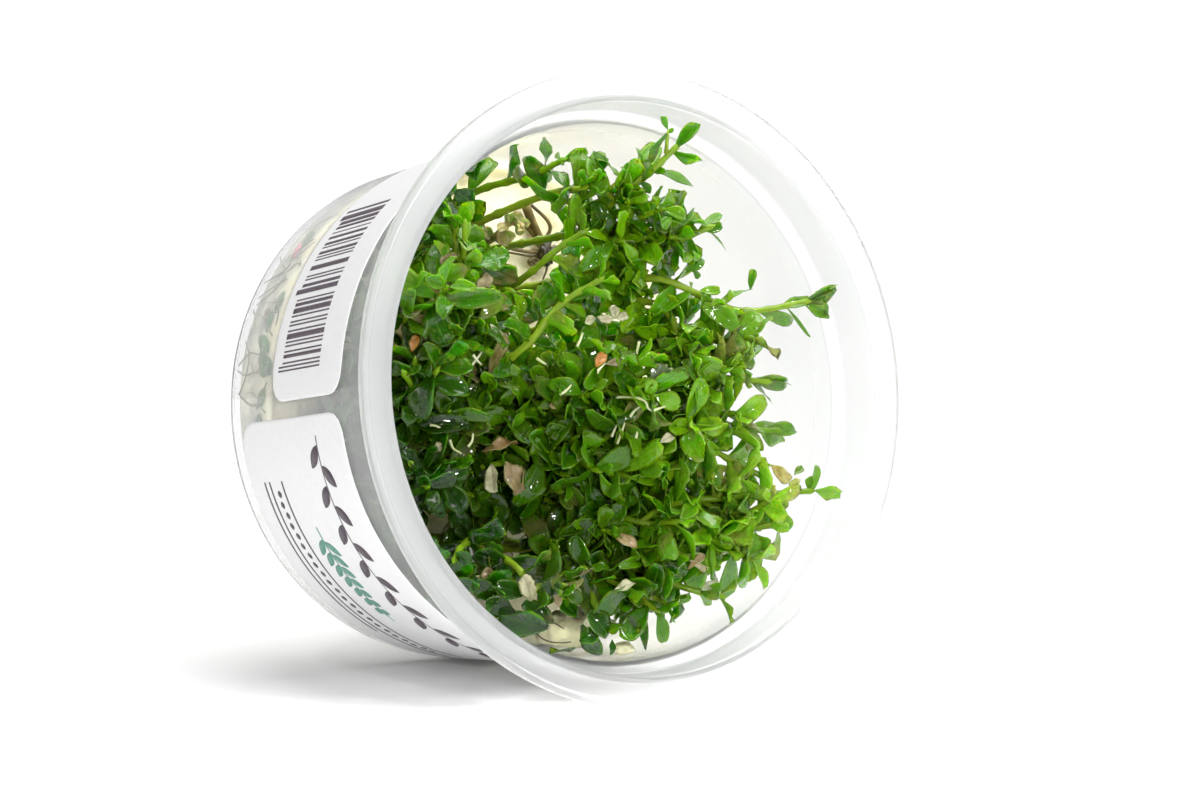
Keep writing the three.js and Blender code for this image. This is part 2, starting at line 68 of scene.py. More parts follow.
# %% Cup coordinates
RIM_RADIUS, RIM_THICKNESS = 50.0, 1.5
MOUTH_RADIUS, COLLAR_DEPTH, COLLAR_DRAFT, THROAT_RADIUS = 45.0, 8.9, 0.4, 42.7
BASE_RADIUS, BASE_ROUND, CUP_DEPTH, WALL = 42.2, 2.4, 62.6, 0.8
SHOULDER = THROAT_RADIUS + WALL
CAD_SIDES, CLEAR_OF_WALL = 48, 0.35
RISE = math.atan2(RIM_RADIUS - BASE_RADIUS, CUP_DEPTH - BASE_ROUND - RIM_THICKNESS)
OUTWARD = np.array([0.0, -math.cos(RISE), math.sin(RISE)])
UPWARD = np.array([0.0, math.sin(RISE), math.cos(RISE)])
RIM_CENTRE = np.array([0.0, -30.383, 49.672])


def to_frame(places):
    """Places as x, y, depth in mm become metres: the rim's centre plus x, y and less depth on the axes."""
    x, y, depth = places[..., 0:1], places[..., 1:2], places[..., 2:3]
    return (RIM_CENTRE + x * np.array([1.0, 0.0, 0.0]) + y * UPWARD - depth * OUTWARD) / 1000


def wall_radius(depth):
    """Outer radius of the wall: a straight taper from the shoulder under the collar to the base."""
    slope = (BASE_RADIUS - SHOULDER) / (CUP_DEPTH - BASE_ROUND - COLLAR_DEPTH)
    return SHOULDER + slope * (depth - COLLAR_DEPTH)


def room_radius(depth):
    """Free radius inside the flat sides of the solid cup, a third of a millimetre clear of them."""
    collar = MOUTH_RADIUS - COLLAR_DRAFT * depth / COLLAR_DEPTH
    inside = np.where(depth < COLLAR_DEPTH - WALL, collar, wall_radius(depth) - WALL)
    return inside * math.cos(math.pi / CAD_SIDES) - CLEAR_OF_WALL


def keep_inside(places, margin):
    """Pulls places straight towards the axis until they are inside the wall, and back behind the rim."""
    depth = np.maximum(places[..., 2], margin)
    reach = np.maximum(np.hypot(places[..., 0], places[..., 1]), 1e-6)
    pull = np.minimum(1.0, (room_radius(depth) - margin) / reach)
    return np.stack([places[..., 0] * pull, places[..., 1] * pull, depth], axis=-1)


def chance(a, b, c):
    """A repeatable number from 0 to 1: the part after the point of a very large sine."""
    n = np.sin(a * 12.9898 + b * 78.233 + c * 37.719) * 43758.5453
    return n - np.floor(n)


print("rise of the mouth:", round(math.degrees(RISE), 2), "degrees")

# %% [markdown]
# ## From arrays to a mesh
# Every piece below ends as two arrays: corner places and faces. Faces are rows of four corner
# numbers, where -1 stands for no fourth corner. One helper writes them into a mesh with foreach_set,
# which is far quicker than adding faces one at a time, and ties the new object to the frame.

# %% Mesh helpers
def make_piece(name, places, faces, materials, replaced=(), uv=None, values=None, part=None):
    """An object of the given places (metres) and faces, which rides on the body and stands for CAD nodes."""
    used = faces >= 0
    loops = faces[used]
    starts = np.concatenate([[0], np.cumsum(used.sum(axis=1))[:-1]])
    mesh = bpy.data.meshes.new(name)
    mesh.vertices.add(len(places))
    mesh.vertices.foreach_set("co", places.astype(np.float32).ravel())
    mesh.loops.add(len(loops))
    mesh.polygons.add(len(faces))
    mesh.polygons.foreach_set("loop_start", starts.astype(np.int32))
    mesh.polygons.foreach_set("vertices", loops.astype(np.int32))
    mesh.polygons.foreach_set("use_smooth", np.ones(len(faces), dtype=bool))
    for material in materials:
        mesh.materials.append(material)
    if part is not None:
        mesh.polygons.foreach_set("material_index", part.astype(np.int32))
    if uv is not None:
        layer = mesh.uv_layers.new(name="UVMap")
        layer.data.foreach_set("uv", uv[loops].astype(np.float32).ravel())
    for label, numbers in (values or {}).items():
        attribute = mesh.attributes.new(label, "FLOAT", "POINT")
        attribute.data.foreach_set("value", numbers.astype(np.float32).ravel())
    mesh.update(calc_edges=True)
    mesh.validate()
    piece = bpy.data.objects.new(name, mesh)
    bpy.context.scene.collection.objects.link(piece)
    if replaced:
        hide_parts(*replaced)
    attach(piece, "root")
    return piece


def grid_faces(rows, columns, wrap):
    """Quads between neighbours of a grid, its columns joined up round where wrap is true."""
    last = columns if wrap else columns - 1
    r, c = np.meshgrid(np.arange(rows - 1), np.arange(last), indexing="ij")
    r, c = r.ravel(), c.ravel()
    d = (c + 1) % columns
    return np.stack([r * columns + c, r * columns + d, (r + 1) * columns + d, (r + 1) * columns + c], axis=1)


def closed_grid(grid, middles=None):
    """A grid of rings, closed by a fan of triangles round a middle at its first and its last ring."""
    rows, columns = grid.shape[:2]
    if middles is None:
        middles = np.stack([grid[0].mean(axis=0), grid[-1].mean(axis=0)])
    here = np.arange(columns)
    following, none, last = (here + 1) % columns, np.full(columns, -1), (rows - 1) * columns
    first_fan = np.stack([none + 1 + rows * columns, following, here, none], axis=1)
    last_fan = np.stack([none + 2 + rows * columns, last + here, last + following, none], axis=1)
    places = np.concatenate([grid.reshape(-1, 3), middles])
    return places, np.concatenate([grid_faces(rows, columns, True), first_fan, last_fan])


def copies_of(faces, count, corners):
    """The faces of many equal pieces, each with the given number of corners, from the faces of one."""
    steps = (np.arange(count) * corners)[:, None, None]
    return np.where(faces < 0, -1, faces + steps).reshape(-1, faces.shape[1])


print("mesh helpers ready")

# %% [markdown]
# ### Helpers for finishes
# Every finish is a Principled shader with a few nodes in front of it. These helpers add one node each
# and wire it up, so that a finish below reads as a short list of what it is made of.

# %% Node helpers
def new_material(name):
    """A material with nodes, returned with its node tree and its shader."""
    material = bpy.data.materials.new(name)
    material.use_nodes = True
    tree = material.node_tree
    return material, tree, tree.nodes["Principled BSDF"]


def set_sockets(node, **values):
    """Sets input sockets to fixed values, each named as in the editor with _ for a space."""
    for label, value in values.items():
        node.inputs[label.replace("_", " ")].default_value = value


def value_of(tree, label):
    """The socket with the number that each corner of the mesh holds under a label."""
    attribute = tree.nodes.new("ShaderNodeAttribute")
    attribute.attribute_name = label
    return attribute.outputs["Fac"]


def noise_node(tree, scale, detail=3.0, rough=0.5):
    """A noise texture on Object coordinates, scale in waves per metre."""
    place = tree.nodes.new("ShaderNodeTexCoord")
    noise = tree.nodes.new("ShaderNodeTexNoise")
    set_sockets(noise, Scale=scale, Detail=detail, Roughness=rough)
    tree.links.new(place.outputs["Object"], noise.inputs["Vector"])
    return noise


def ramp_node(tree, source, stops):
    """A colour ramp through stops of (place, colour), driven by a source socket."""
    ramp = tree.nodes.new("ShaderNodeValToRGB")
    elements = ramp.color_ramp.elements
    while len(elements) < len(stops):
        elements.new(0.5)
    for element, (place, colour) in zip(elements, stops):
        element.position = place
        element.color = (*colour, 1.0)
    tree.links.new(source, ramp.inputs["Fac"])
    return ramp


def mix_node(tree, share, first, second, blend="MIX"):
    """Mixes two colours, each a socket or three numbers, by a share that is a socket or a number."""
    mix = tree.nodes.new("ShaderNodeMix")
    mix.data_type = "RGBA"
    mix.blend_type = blend
    for name, value in (("Factor", share), ("A", first), ("B", second)):
        kinds = ("NodeSocketFloatFactor",) if name == "Factor" else ("NodeSocketColor",)
        socket = [s for s in mix.inputs if s.name == name and s.bl_idname in kinds][0]
        if isinstance(value, bpy.types.NodeSocket):
            tree.links.new(value, socket)
        else:
            socket.default_value = value if name == "Factor" else (*value, 1.0)
    return [s for s in mix.outputs if s.bl_idname == "NodeSocketColor"][0]


def math_node(tree, operation, first, second=0.0, clamp=False):
    """One sum on two values, each a socket or a number."""
    node = tree.nodes.new("ShaderNodeMath")
    node.operation = operation
    node.use_clamp = clamp
    for socket, value in zip(node.inputs, (first, second)):
        if isinstance(value, bpy.types.NodeSocket):
            tree.links.new(value, socket)
        else:
            socket.default_value = value
    return node.outputs[0]


def bump_node(tree, shader, height, strength, distance):
    """Bumps the shader's normal by a height socket."""
    bump = tree.nodes.new("ShaderNodeBump")
    set_sockets(bump, Strength=strength, Distance=distance)
    tree.links.new(height, bump.inputs["Height"])
    tree.links.new(bump.outputs["Normal"], shader.inputs["Normal"])


print("node helpers ready")

# %% [markdown]
# ## The camera, the floor and the light
# The photo looks into the mouth from the front and the left, a few degrees above the table, through
# a long lens. The surroundings are pure white, so the world itself is the largest lamp; a patch of
# sky and seven small soft boxes shape the leaves and put the wet glints on them. The view transform
# is the plain one, so white stays white.

# %% Camera
AZIMUTH, ELEVATION = math.radians(-32.74), math.radians(4.556)
BACK = np.array([math.sin(AZIMUTH) * math.cos(ELEVATION), -math.cos(AZIMUTH) * math.cos(ELEVATION),
                 math.sin(ELEVATION)])
RIGHT = np.array([math.cos(AZIMUTH), math.sin(AZIMUTH), 0.0])
ABOVE = np.cross(BACK, RIGHT)
RIM_TO_THE_RIGHT, RIM_AWAY, RIM_ABOVE = 7.1875, 468.031, 1.965  # as the camera sees it, in mm
eye = RIM_CENTRE + RIM_AWAY * BACK - RIM_TO_THE_RIGHT * RIGHT
eye = (eye - RIM_ABOVE * ABOVE) / 1000

scene = bpy.context.scene
camera_data = bpy.data.cameras.new("camera")
camera_data.lens = 90
camera_data.sensor_width = 36
camera_data.clip_start = 0.01
camera = bpy.data.objects.new("camera", camera_data)
scene.collection.objects.link(camera)
matrix = np.eye(4)
matrix[:3, :3] = np.stack([RIGHT, ABOVE, BACK], axis=1)
matrix[:3, 3] = eye
camera.matrix_world = Matrix(matrix.tolist())
scene.camera = camera
scene.view_settings.view_transform = "Standard"
scene.view_settings.look = "None"
print("camera at", np.round(eye, 4))

# %% World, floor and lamps
world = bpy.data.worlds.new("white_room")
world.use_nodes = True
scene.world = world
background = world.node_tree.nodes["Background"]
set_sockets(background, Color=(1.0, 1.0, 1.0, 1.0))
# Strength of the white for the eye, for matt surfaces, and for gloss at the sides and from the front.
ROOM_WHITE, ROOM_FILL, SIDE_GLOSS, FRONT_GLOSS, FRONT_SPREAD = 1.06, 0.36, 0.55, 0.04, 1.6
tree = world.node_tree
path = tree.nodes.new("ShaderNodeLightPath")
thrown_back = math_node(tree, "SUBTRACT", 1.0, path.outputs["Is Transmission Ray"])
matt = math_node(tree, "MULTIPLY", path.outputs["Is Diffuse Ray"], thrown_back)
shiny = math_node(tree, "MULTIPLY", path.outputs["Is Glossy Ray"], thrown_back)
fill = math_node(tree, "MULTIPLY", matt, ROOM_FILL - ROOM_WHITE)
way = tree.nodes.new("ShaderNodeTexCoord")
dim_side = tree.nodes.new("ShaderNodeVectorMath")
dim_side.operation = "DOT_PRODUCT"
dim_side.inputs[1].default_value = (math.sin(AZIMUTH), -math.cos(AZIMUTH), 0.0)
tree.links.new(way.outputs["Generated"], dim_side.inputs[0])
dimming = math_node(tree, "MULTIPLY", dim_side.outputs["Value"], FRONT_SPREAD, True)
dimming = math_node(tree, "MULTIPLY", dimming, FRONT_GLOSS - SIDE_GLOSS)
dimmer = math_node(tree, "ADD", dimming, SIDE_GLOSS - ROOM_WHITE)
gloss = math_node(tree, "MULTIPLY", shiny, dimmer)
strength = math_node(tree, "ADD", math_node(tree, "ADD", fill, gloss), ROOM_WHITE)
tree.links.new(strength, background.inputs["Strength"])

floor_material, tree, shader = new_material("white_floor")
grain = noise_node(tree, 40, 2)
tone = ramp_node(tree, grain.outputs["Fac"], [(0.3, (0.93, 0.93, 0.93)), (0.7, (0.95, 0.95, 0.95))])
tree.links.new(tone.outputs["Color"], shader.inputs["Base Color"])
set_sockets(shader, Roughness=0.55, Specular_IOR_Level=0.0)
FLOOR_HALF = 1.6
corners = FLOOR_HALF * np.array([[-1, -1, 0], [1, -1, 0], [1, 1, 0], [-1, 1, 0]], dtype=float)
floor_mesh = bpy.data.meshes.new("floor")
floor_mesh.from_pydata(corners.tolist(), [], [(0, 1, 2, 3)])
floor_mesh.materials.append(floor_material)
floor = bpy.data.objects.new("floor", floor_mesh)
scene.collection.objects.link(floor)
floor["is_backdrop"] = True


def hang(light, place, target):
    """Puts a lamp at a place, with its back turned away from the target: the matrix holds its axes."""
    place, target = np.array(place, dtype=float), np.array(target, dtype=float)
    away = (place - target) / np.linalg.norm(place - target)
    across = np.cross([0.0, 0.0, 1.0], away)
    across /= np.linalg.norm(across)
    turned = np.eye(4)
    turned[:3, :3] = np.stack([across, np.cross(away, across), away], axis=1)
    turned[:3, 3] = place
    lamp = bpy.data.objects.new(light.name, light)
    scene.collection.objects.link(lamp)
    lamp.matrix_world = Matrix(turned.tolist())


def soft_box(name, place, target, size, power):
    """A square area lamp at a place, turned so that it shines at the target."""
    light = bpy.data.lights.new(name, "AREA")
    light.shape, light.size, light.energy = "SQUARE", size, power
    hang(light, place, target)


def soft_sun(name, place, spread, strength):
    """Light from a wide patch of sky, spread degrees across, which falls evenly on the whole floor."""
    light = bpy.data.lights.new(name, "SUN")
    light.energy, light.angle = strength, math.radians(spread)
    hang(light, place, (0, 0, 0))


soft_sun("sky_patch", (0.15, -0.12, 1.0), 40, 2.25)
SOFT_BOXES = [
    # name, place, height of the target, size, power
    ("key_box", (0.35, -0.65, 0.85), 0.05, 0.075, 2.2),
    ("front_box", (-0.55, -0.35, 0.9), 0.05, 0.05, 0.9),
    ("glint_box", (-0.15, -0.9, 0.55), 0.05, 0.035, 0.55),
    ("low_box", (-0.30, -0.80, 0.15), 0.03, 0.05, 1.85),
    ("glint_left", (-0.50, -0.75, 0.45), 0.05, 0.035, 0.28),
    ("glint_right", (0.45, -0.80, 0.35), 0.05, 0.035, 0.28),
    ("glint_top", (0.05, -0.60, 0.90), 0.05, 0.035, 0.28),
]
for name, place, height, size, power in SOFT_BOXES:
    soft_box(name, place, (0, 0, height), size, power)
print("floor ready, soft boxes:", len(SOFT_BOXES))

# %% [markdown]
# ## The cup
# The cup is one thin moulding of clear, slightly milky plastic: a flat flange with a small bead, a
# collar, a stacking step, a tapered wall and a flat base with a rounded edge. A lathed form is a
# profile turned round an axis. Each corner of the profile is first rounded with a short curve, then
# the profile is swept through a full turn, so the whole wall is a closed skin with a real thickness.

# %% Cup profile
HAZE_SHARE = 0.3  # how far down the inner wall the haze of the collar fades out
CORNER_STEPS, CUP_SEGMENTS = 5, 192
CUP_PROFILE = [
    # radius, depth, rounding
    (0.0, CUP_DEPTH - 0.5, 0.0),
    (BASE_RADIUS - 9.0, CUP_DEPTH - 0.5, 0.6),
    (BASE_RADIUS - 7.4, CUP_DEPTH, 0.6),
    (BASE_RADIUS, CUP_DEPTH, BASE_ROUND),
    (SHOULDER, COLLAR_DEPTH + WALL, 0.5),
    (MOUTH_RADIUS + WALL, COLLAR_DEPTH, 0.5),
    (MOUTH_RADIUS + WALL, RIM_THICKNESS, 0.3),
    (RIM_RADIUS, RIM_THICKNESS, 0.45),
    (RIM_RADIUS, 0.0, 0.4),
    (RIM_RADIUS - 0.9, 0.0, 0.15),
    (RIM_RADIUS - 1.2, 0.25, 0.2),
    (MOUTH_RADIUS + 0.9, 0.25, 0.2),
    (MOUTH_RADIUS + 0.55, 0.0, 0.15),
    (MOUTH_RADIUS, 0.0, 0.25),
    (MOUTH_RADIUS - COLLAR_DRAFT, COLLAR_DEPTH - WALL, 0.3),
    (THROAT_RADIUS, COLLAR_DEPTH, 0.35),
    (THROAT_RADIUS + HAZE_SHARE * (BASE_RADIUS - WALL - THROAT_RADIUS),
     COLLAR_DEPTH + HAZE_SHARE * (CUP_DEPTH - WALL - COLLAR_DEPTH), 0.2),
    (BASE_RADIUS - WALL, CUP_DEPTH - WALL, BASE_ROUND - 0.5 * WALL),
    (BASE_RADIUS - 7.6, CUP_DEPTH - WALL, 0.6),
    (BASE_RADIUS - 9.2, CUP_DEPTH - WALL - 0.5, 0.6),
    (0.0, CUP_DEPTH - WALL - 0.5, 0.0),
]


def rounded_profile(profile, steps):
    """Each corner becomes a curve from one leg to the other, a blend of two straight lines by t."""
    corners = np.array([row[:2] for row in profile])
    result = [corners[:1]]
    t = np.linspace(0, 1, steps)[:, None]
    for k in range(1, len(corners) - 1):
        here, before, after = corners[k], corners[k - 1] - corners[k], corners[k + 1] - corners[k]
        reach = min(profile[k][2], 0.49 * np.linalg.norm(before), 0.49 * np.linalg.norm(after))
        start = here + reach * before / np.linalg.norm(before)
        end = here + reach * after / np.linalg.norm(after)
        result.append((1 - t) ** 2 * start + 2 * t * (1 - t) * here + t**2 * end)
    result.append(corners[-1:])
    return np.concatenate(result)


def turned_places(profile, segments):
    """Radius and depth swept round the axis: x is radius times cosine, y radius times sine."""
    turn = np.linspace(0, 2 * math.pi, segments, endpoint=False)
    x = profile[:, :1] * np.cos(turn)
    y = profile[:, :1] * np.sin(turn)
    depth = np.repeat(profile[:, 1:], segments, axis=1)
    return np.stack([x, y, depth], axis=-1)


profile = rounded_profile(CUP_PROFILE, CORNER_STEPS)
poles = np.array([[0, 0, profile[0, 1]], [0, 0, profile[-1, 1]]])
cup_places, cup_faces = closed_grid(turned_places(profile[1:-1], CUP_SEGMENTS), poles)
print("cup:", len(cup_places), "corners,", len(cup_faces), "faces")

# %% [markdown]
# ### The cup's plastic
# Thin moulded plastic lets nearly all light through, bends it, and scatters a little of it in its
# milky body. The rim and the collar are thicker and cool more slowly in the mould, so they come out
# milkier than the thin wall, and the small rounded edges are the milkiest; their darker grey is painted
# shade, for the dark lines that bent light draws along them. One plastic's colour and roughness follow
# a "milk" value on the mesh. Its volume absorbs a little light on the way, so the wall looks darkest
# where the view runs along it.

# %% Cup material
def cup_plastic(name, clear, milky, edge):
    """Clear, milky and edge finish, each (tone, roughness), blended by milk values 0, 0.5 and 1."""
    material, tree, shader = new_material(name)
    milk = value_of(tree, "milk")
    cloud = noise_node(tree, 45, 2)
    stops = list(zip((0.0, 0.5, 1.0), (clear, milky, edge)))
    tone = ramp_node(tree, milk, [(at, (finish[0],) * 3) for at, finish in stops])
    flow = ramp_node(tree, cloud.outputs["Fac"],
                     [(0.3, (1.0, 1.0, 1.0)), (0.75, (0.97, 0.975, 0.98))])
    body = mix_node(tree, 1.0, tone.outputs["Color"], flow.outputs["Color"], "MULTIPLY")
    tree.links.new(body, shader.inputs["Base Color"])
    haze = ramp_node(tree, milk, [(at, (finish[1],) * 3) for at, finish in stops])
    tree.links.new(haze.outputs["Color"], shader.inputs["Roughness"])
    set_sockets(shader, Transmission_Weight=0.92, IOR=1.36)
    absorption = tree.nodes.new("ShaderNodeVolumeAbsorption")
    set_sockets(absorption, Color=(0.50, 0.52, 0.53, 1.0), Density=60.0)
    tree.links.new(absorption.outputs["Volume"], tree.nodes["Material Output"].inputs["Volume"])
    return material


# The edge finish's darker grey is painted shade for the dark lines that bent light draws along the small
# rounded edges; its roughness is real haze.
moulded_plastic = cup_plastic("cup_plastic", (0.975, 0.03), (0.962, 0.36), (0.77, 0.40))
MILKY_TO, EDGE_CORNERS = COLLAR_DEPTH + 0.6, (10, 13, 15)
# A film of damp, in degrees round the wall: it is thickest near the top and ends short of the base.
FILM_MIDDLE, FILM_SPREAD, FILM_MILK, FILM_END = 100.0, 34.0, 0.15, CUP_DEPTH - 5.0
degrees_round, depth = np.degrees(np.arctan2(cup_places[:, 1], cup_places[:, 0])), cup_places[:, 2]
film = FILM_MILK * np.exp(-((degrees_round - FILM_MIDDLE) / FILM_SPREAD) ** 2)
milk = np.where(depth > MILKY_TO, np.where(depth < FILM_END, film, 0.0), 0.5)
# The small rounded edges take the edge finish, with its painted shade.
for corner in EDGE_CORNERS:
    row = CORNER_STEPS * (corner - 1)
    milk[(row + 1) * CUP_SEGMENTS:(row + CORNER_STEPS - 1) * CUP_SEGMENTS] = 1.0
cup = make_piece("cup_shell", to_frame(cup_places), cup_faces, [moulded_plastic], ["cup"],
                 values={"milk": milk})
cup.visible_shadow = False  # the thin clear wall lets the light through to the leaves and the floor
print("cup piece:", len(cup.data.polygons), "faces")

# %% [markdown]
# ## The stickers
# Two white paper stickers with rounded corners follow the round wall. Such a sheet is a disc-like
# grid: one parameter runs from its middle to its edge, the other round its outline. The grid is
# laid flat in millimetres, angle along the wall and depth, then rolled onto the wall.

# %% Sticker shape
LARGE_LABEL = {"from": 0.6, "to": 81.5, "near": 20.0, "far": 57.0}
BAR_LABEL = {"from": -78.5, "to": -3.0, "near": 19.5, "far": 44.5}
STICKER_CORNER, STUCK, PAPER, INK = 4.0, 0.06, 0.14, 0.015  # corner radius, gap, and thicknesses
MIDDLE_OF_WALL = 30.0  # the depth where a millimetre of arc is measured


def rolled(arc, depth, lift):
    """A flat place (arc in mm from the cup's left side downwards, depth) rolled onto the wall and lifted."""
    turn = arc / wall_radius(MIDDLE_OF_WALL)
    radius = wall_radius(depth) + lift
    return np.stack([-radius * np.cos(turn), -radius * np.sin(turn), depth], axis=-1)


def rounded_outline(half_long, half_wide, corner, count):
    """Points round a rectangle with round corners, spread evenly by the angle they are seen at."""
    turn = np.linspace(0, 2 * math.pi, count, endpoint=False)
    way = np.stack([np.cos(turn), np.sin(turn)], axis=1)
    low, high = np.zeros(count), np.full(count, half_long + half_wide)
    for _ in range(40):
        middle = 0.5 * (low + high)
        place = np.abs(way * middle[:, None]) - np.array([half_long - corner, half_wide - corner])
        away = np.linalg.norm(np.maximum(place, 0), axis=1) + np.minimum(place.max(axis=1), 0) - corner
        low, high = np.where(away < 0, middle, low), np.where(away < 0, high, middle)
    return way * low[:, None]


def arc_of(angle):
    """Millimetres along the wall for an angle in degrees."""
    return math.radians(angle) * wall_radius(MIDDLE_OF_WALL)


def label_piece(name, label, node):
    """A thin closed sheet on the wall: rings from the middle of its face, over its edge, to its back."""
    start, end = arc_of(label["from"]), arc_of(label["to"])
    centre = np.array([0.5 * (start + end), 0.5 * (label["near"] + label["far"])])
    outline = rounded_outline(0.5 * (end - start), 0.5 * (label["far"] - label["near"]), STICKER_CORNER, 128)
    shares = np.concatenate([np.linspace(0.04, 0.985, 14), [1.0, 1.0], np.linspace(0.985, 0.04, 8)])
    lifts = np.concatenate([np.full(14, PAPER), [0.8 * PAPER, 0.15 * PAPER], np.zeros(8)])
    flat = outline[None] * shares[:, None, None] + centre
    grid = rolled(flat[..., 0], flat[..., 1], STUCK + lifts[:, None])
    middles = rolled(np.full(2, centre[0]), np.full(2, centre[1]), STUCK + np.array([PAPER, 0.0]))
    places, faces = closed_grid(grid, middles)
    return make_piece(name, to_frame(places), faces[:, ::-1], [paper], [node])


# %% [markdown]
# ### Sticker paper
# Coated white paper: very fine fibres show in the gloss and as a faint unevenness of the white.

# %% Paper
paper, tree, shader = new_material("coated_paper")
fibre = noise_node(tree, 900, 4, 0.6)
white = ramp_node(tree, fibre.outputs["Fac"], [(0.2, (0.83,) * 3), (0.8, (0.89, 0.89, 0.885))])
tree.links.new(white.outputs["Color"], shader.inputs["Base Color"])
satin = ramp_node(tree, fibre.outputs["Fac"], [(0.2, (0.42,) * 3), (0.8, (0.52,) * 3)])
tree.links.new(satin.outputs["Color"], shader.inputs["Roughness"])
bump_node(tree, shader, fibre.outputs["Fac"], 0.15, 0.0001)

label_piece("sticker_large", LARGE_LABEL, "label_large")
label_piece("sticker_bars", BAR_LABEL, "label_bars")
print("stickers ready")

# %% [markdown]
# ### What is printed on the stickers
# The print is generic: bars of a few widths on the small sticker, which encode nothing, and on the
# large one a border of leaves, a sprig, a row of dots and plain rules. Ink is a film of its own, about
# a hundredth of a millimetre thick, so its edges stay sharp at any distance.

# %% Inks
def clouded_material(name, dark, light, rough, scale=260, stops=(0.35, 0.65)):
    """One matt finish in two tones of a colour, in clouds of a scale in waves per metre."""
    material, tree, shader = new_material(name)
    cloud = noise_node(tree, scale, 3)
    tone = ramp_node(tree, cloud.outputs["Fac"], list(zip(stops, (dark, light))))
    tree.links.new(tone.outputs["Color"], shader.inputs["Base Color"])
    set_sockets(shader, Roughness=rough)
    return material


def ink_material(name, dark, light):
    """Printed ink, a little uneven where the paper's fibres show through."""
    return clouded_material(name, dark, light, 0.45, 1400, (0.3, 0.75))


plum_ink = ink_material("plum_ink", (0.062, 0.045, 0.06), (0.10, 0.075, 0.095))
teal_ink = ink_material("teal_ink", (0.09, 0.27, 0.20), (0.14, 0.36, 0.28))
BOX_TOP = np.array([1, 1, 0, 0])  # which of a flat box's four corners are on its outer face


def strips_piece(name, starts, ends, nears, fars, material, stations=9, round_wall=False):
    """Many bars as one piece, each a flat box carried along the depth or, for rules, round the wall."""
    along = np.linspace(0, 1, stations)[None, :, None] + np.zeros((1, 1, 4))
    side = np.array([0, 1, 1, 0]) + 0 * along
    starts, ends, nears, fars = (
        np.asarray(v, dtype=float)[:, None, None] for v in (starts, ends, nears, fars))
    arc_share, depth_share = (along, 1 - side) if round_wall else (side, along)
    arc = starts + (ends - starts) * arc_share
    depth = nears + (fars - nears) * depth_share
    grid = rolled(arc, depth, STUCK + PAPER + INK * BOX_TOP + 0 * arc)
    last = (stations - 1) * 4 + np.array([[3, 2, 1, 0]])
    one = np.concatenate([grid_faces(stations, 4, True), [[0, 1, 2, 3]], last])
    faces = copies_of(one, grid.shape[0], stations * 4)
    return make_piece(name, to_frame(grid.reshape(-1, 3)), faces, [material])


bar_count = 31
widths = 0.9 + np.floor(3.2 * chance(np.arange(bar_count), 5, 1) ** 1.4)
gaps = 1.1 + np.floor(2.4 * chance(np.arange(bar_count), 5, 2) ** 1.6)
stops = np.cumsum(widths + gaps)
pattern = arc_of(-8.5) - arc_of(-50.0)
bar_starts = arc_of(-50.0) + pattern * (stops - widths - gaps) / stops[-1]
bar_ends = bar_starts + pattern * widths / stops[-1]
tall = np.isin(np.arange(bar_count), [0, 1, 15, 29, 30])
bar_far = np.where(tall, 42.4, 41.0)
strips_piece("sticker_bar_pattern", bar_starts, bar_ends, np.full(bar_count, 27.3), bar_far, plum_ink)

# %% Leaf border, sprig and rules
def leaf_marks(name, arcs, depths, turns, lengths, width, material, lift=0.0):
    """Flat leaves on the wall: each a pointed oval, its half width the sine of the share along it."""
    stations = 9
    t = np.linspace(0, 1, stations)
    half = 0.5 * width * np.sin(math.pi * t) ** 0.8
    along = np.asarray(lengths, dtype=float)[:, None, None] * t[None, :, None] + np.zeros((1, 1, 4))
    side = np.array([-1, 1, 1, -1]) * half[None, :, None] * np.ones((len(arcs), 1, 1))
    c, s = np.cos(turns)[:, None, None], np.sin(turns)[:, None, None]
    arc = np.asarray(arcs)[:, None, None] + along * c - side * s
    depth = np.asarray(depths)[:, None, None] + along * s + side * c
    grid = rolled(arc, depth, STUCK + PAPER + lift + INK * BOX_TOP + 0 * arc)
    last = (stations - 1) * 4 + np.array([[0, 1, 2, 3]])
    one = np.concatenate([grid_faces(stations, 4, True)[:, ::-1], [[3, 2, 1, 0]], last])
    faces = copies_of(one, len(arcs), stations * 4)
    return make_piece(name, to_frame(grid.reshape(-1, 3)), faces, [material])


border = np.arange(16)
border_arc = arc_of(7.0) + 3.3 * border
tilt = np.where(border % 2 == 0, 0.75, -0.75)
leaf_marks("sticker_leaf_border", border_arc, np.full(16, 29.6), tilt, np.full(16, 5.0), 2.3, plum_ink)
strips_piece("sticker_border_stem", [arc_of(5.0)], [arc_of(78.0)], [29.45], [29.75], plum_ink, 61, True)
sprig = np.arange(7)
sprig_arc = arc_of(28.0) + 2.5 * sprig
sprig_turn = np.concatenate([np.full(7, 0.85), np.full(7, -0.85)])
leaf_marks("sticker_sprig", np.concatenate([sprig_arc, sprig_arc + 0.4]), np.full(14, 39.4), sprig_turn,
           np.concatenate([4.6 - 0.4 * sprig, 4.4 - 0.4 * sprig]), 1.7, teal_ink)
strips_piece("sticker_sprig_stem", [arc_of(25.0)], [arc_of(53.0)], [39.2], [39.6], teal_ink, 31, True)
dot = np.arange(22)
leaf_marks("sticker_dots", arc_of(16.0) + 1.9 * dot, np.full(22, 47.6) + 0.35 * (dot % 2), 0.0 * dot,
           np.full(22, 1.4), 1.3, plum_ink)
rule_near = np.array([45.2, 49.8, 51.6])
strips_piece("sticker_rules", np.full(3, arc_of(14.0)), arc_of(1.0) * np.array([76.0, 76.0, 58.0]), rule_near,
             rule_near + 0.55, plum_ink, 51, True)
print("print ready:", bar_count, "bars")

# %% [markdown]
# ## The jelly
# The nutrient jelly is a pale cream pad that fills the base of the cup, with broken lumps of it low
# in the mouth. It is wet and lets light in a little way. The pad is lathed like the cup, but its top
# follows the same gentle waves as the solid in the CAD model, with finer ripples added.

# %% Jelly shapes
GEL_TOP = 49.0


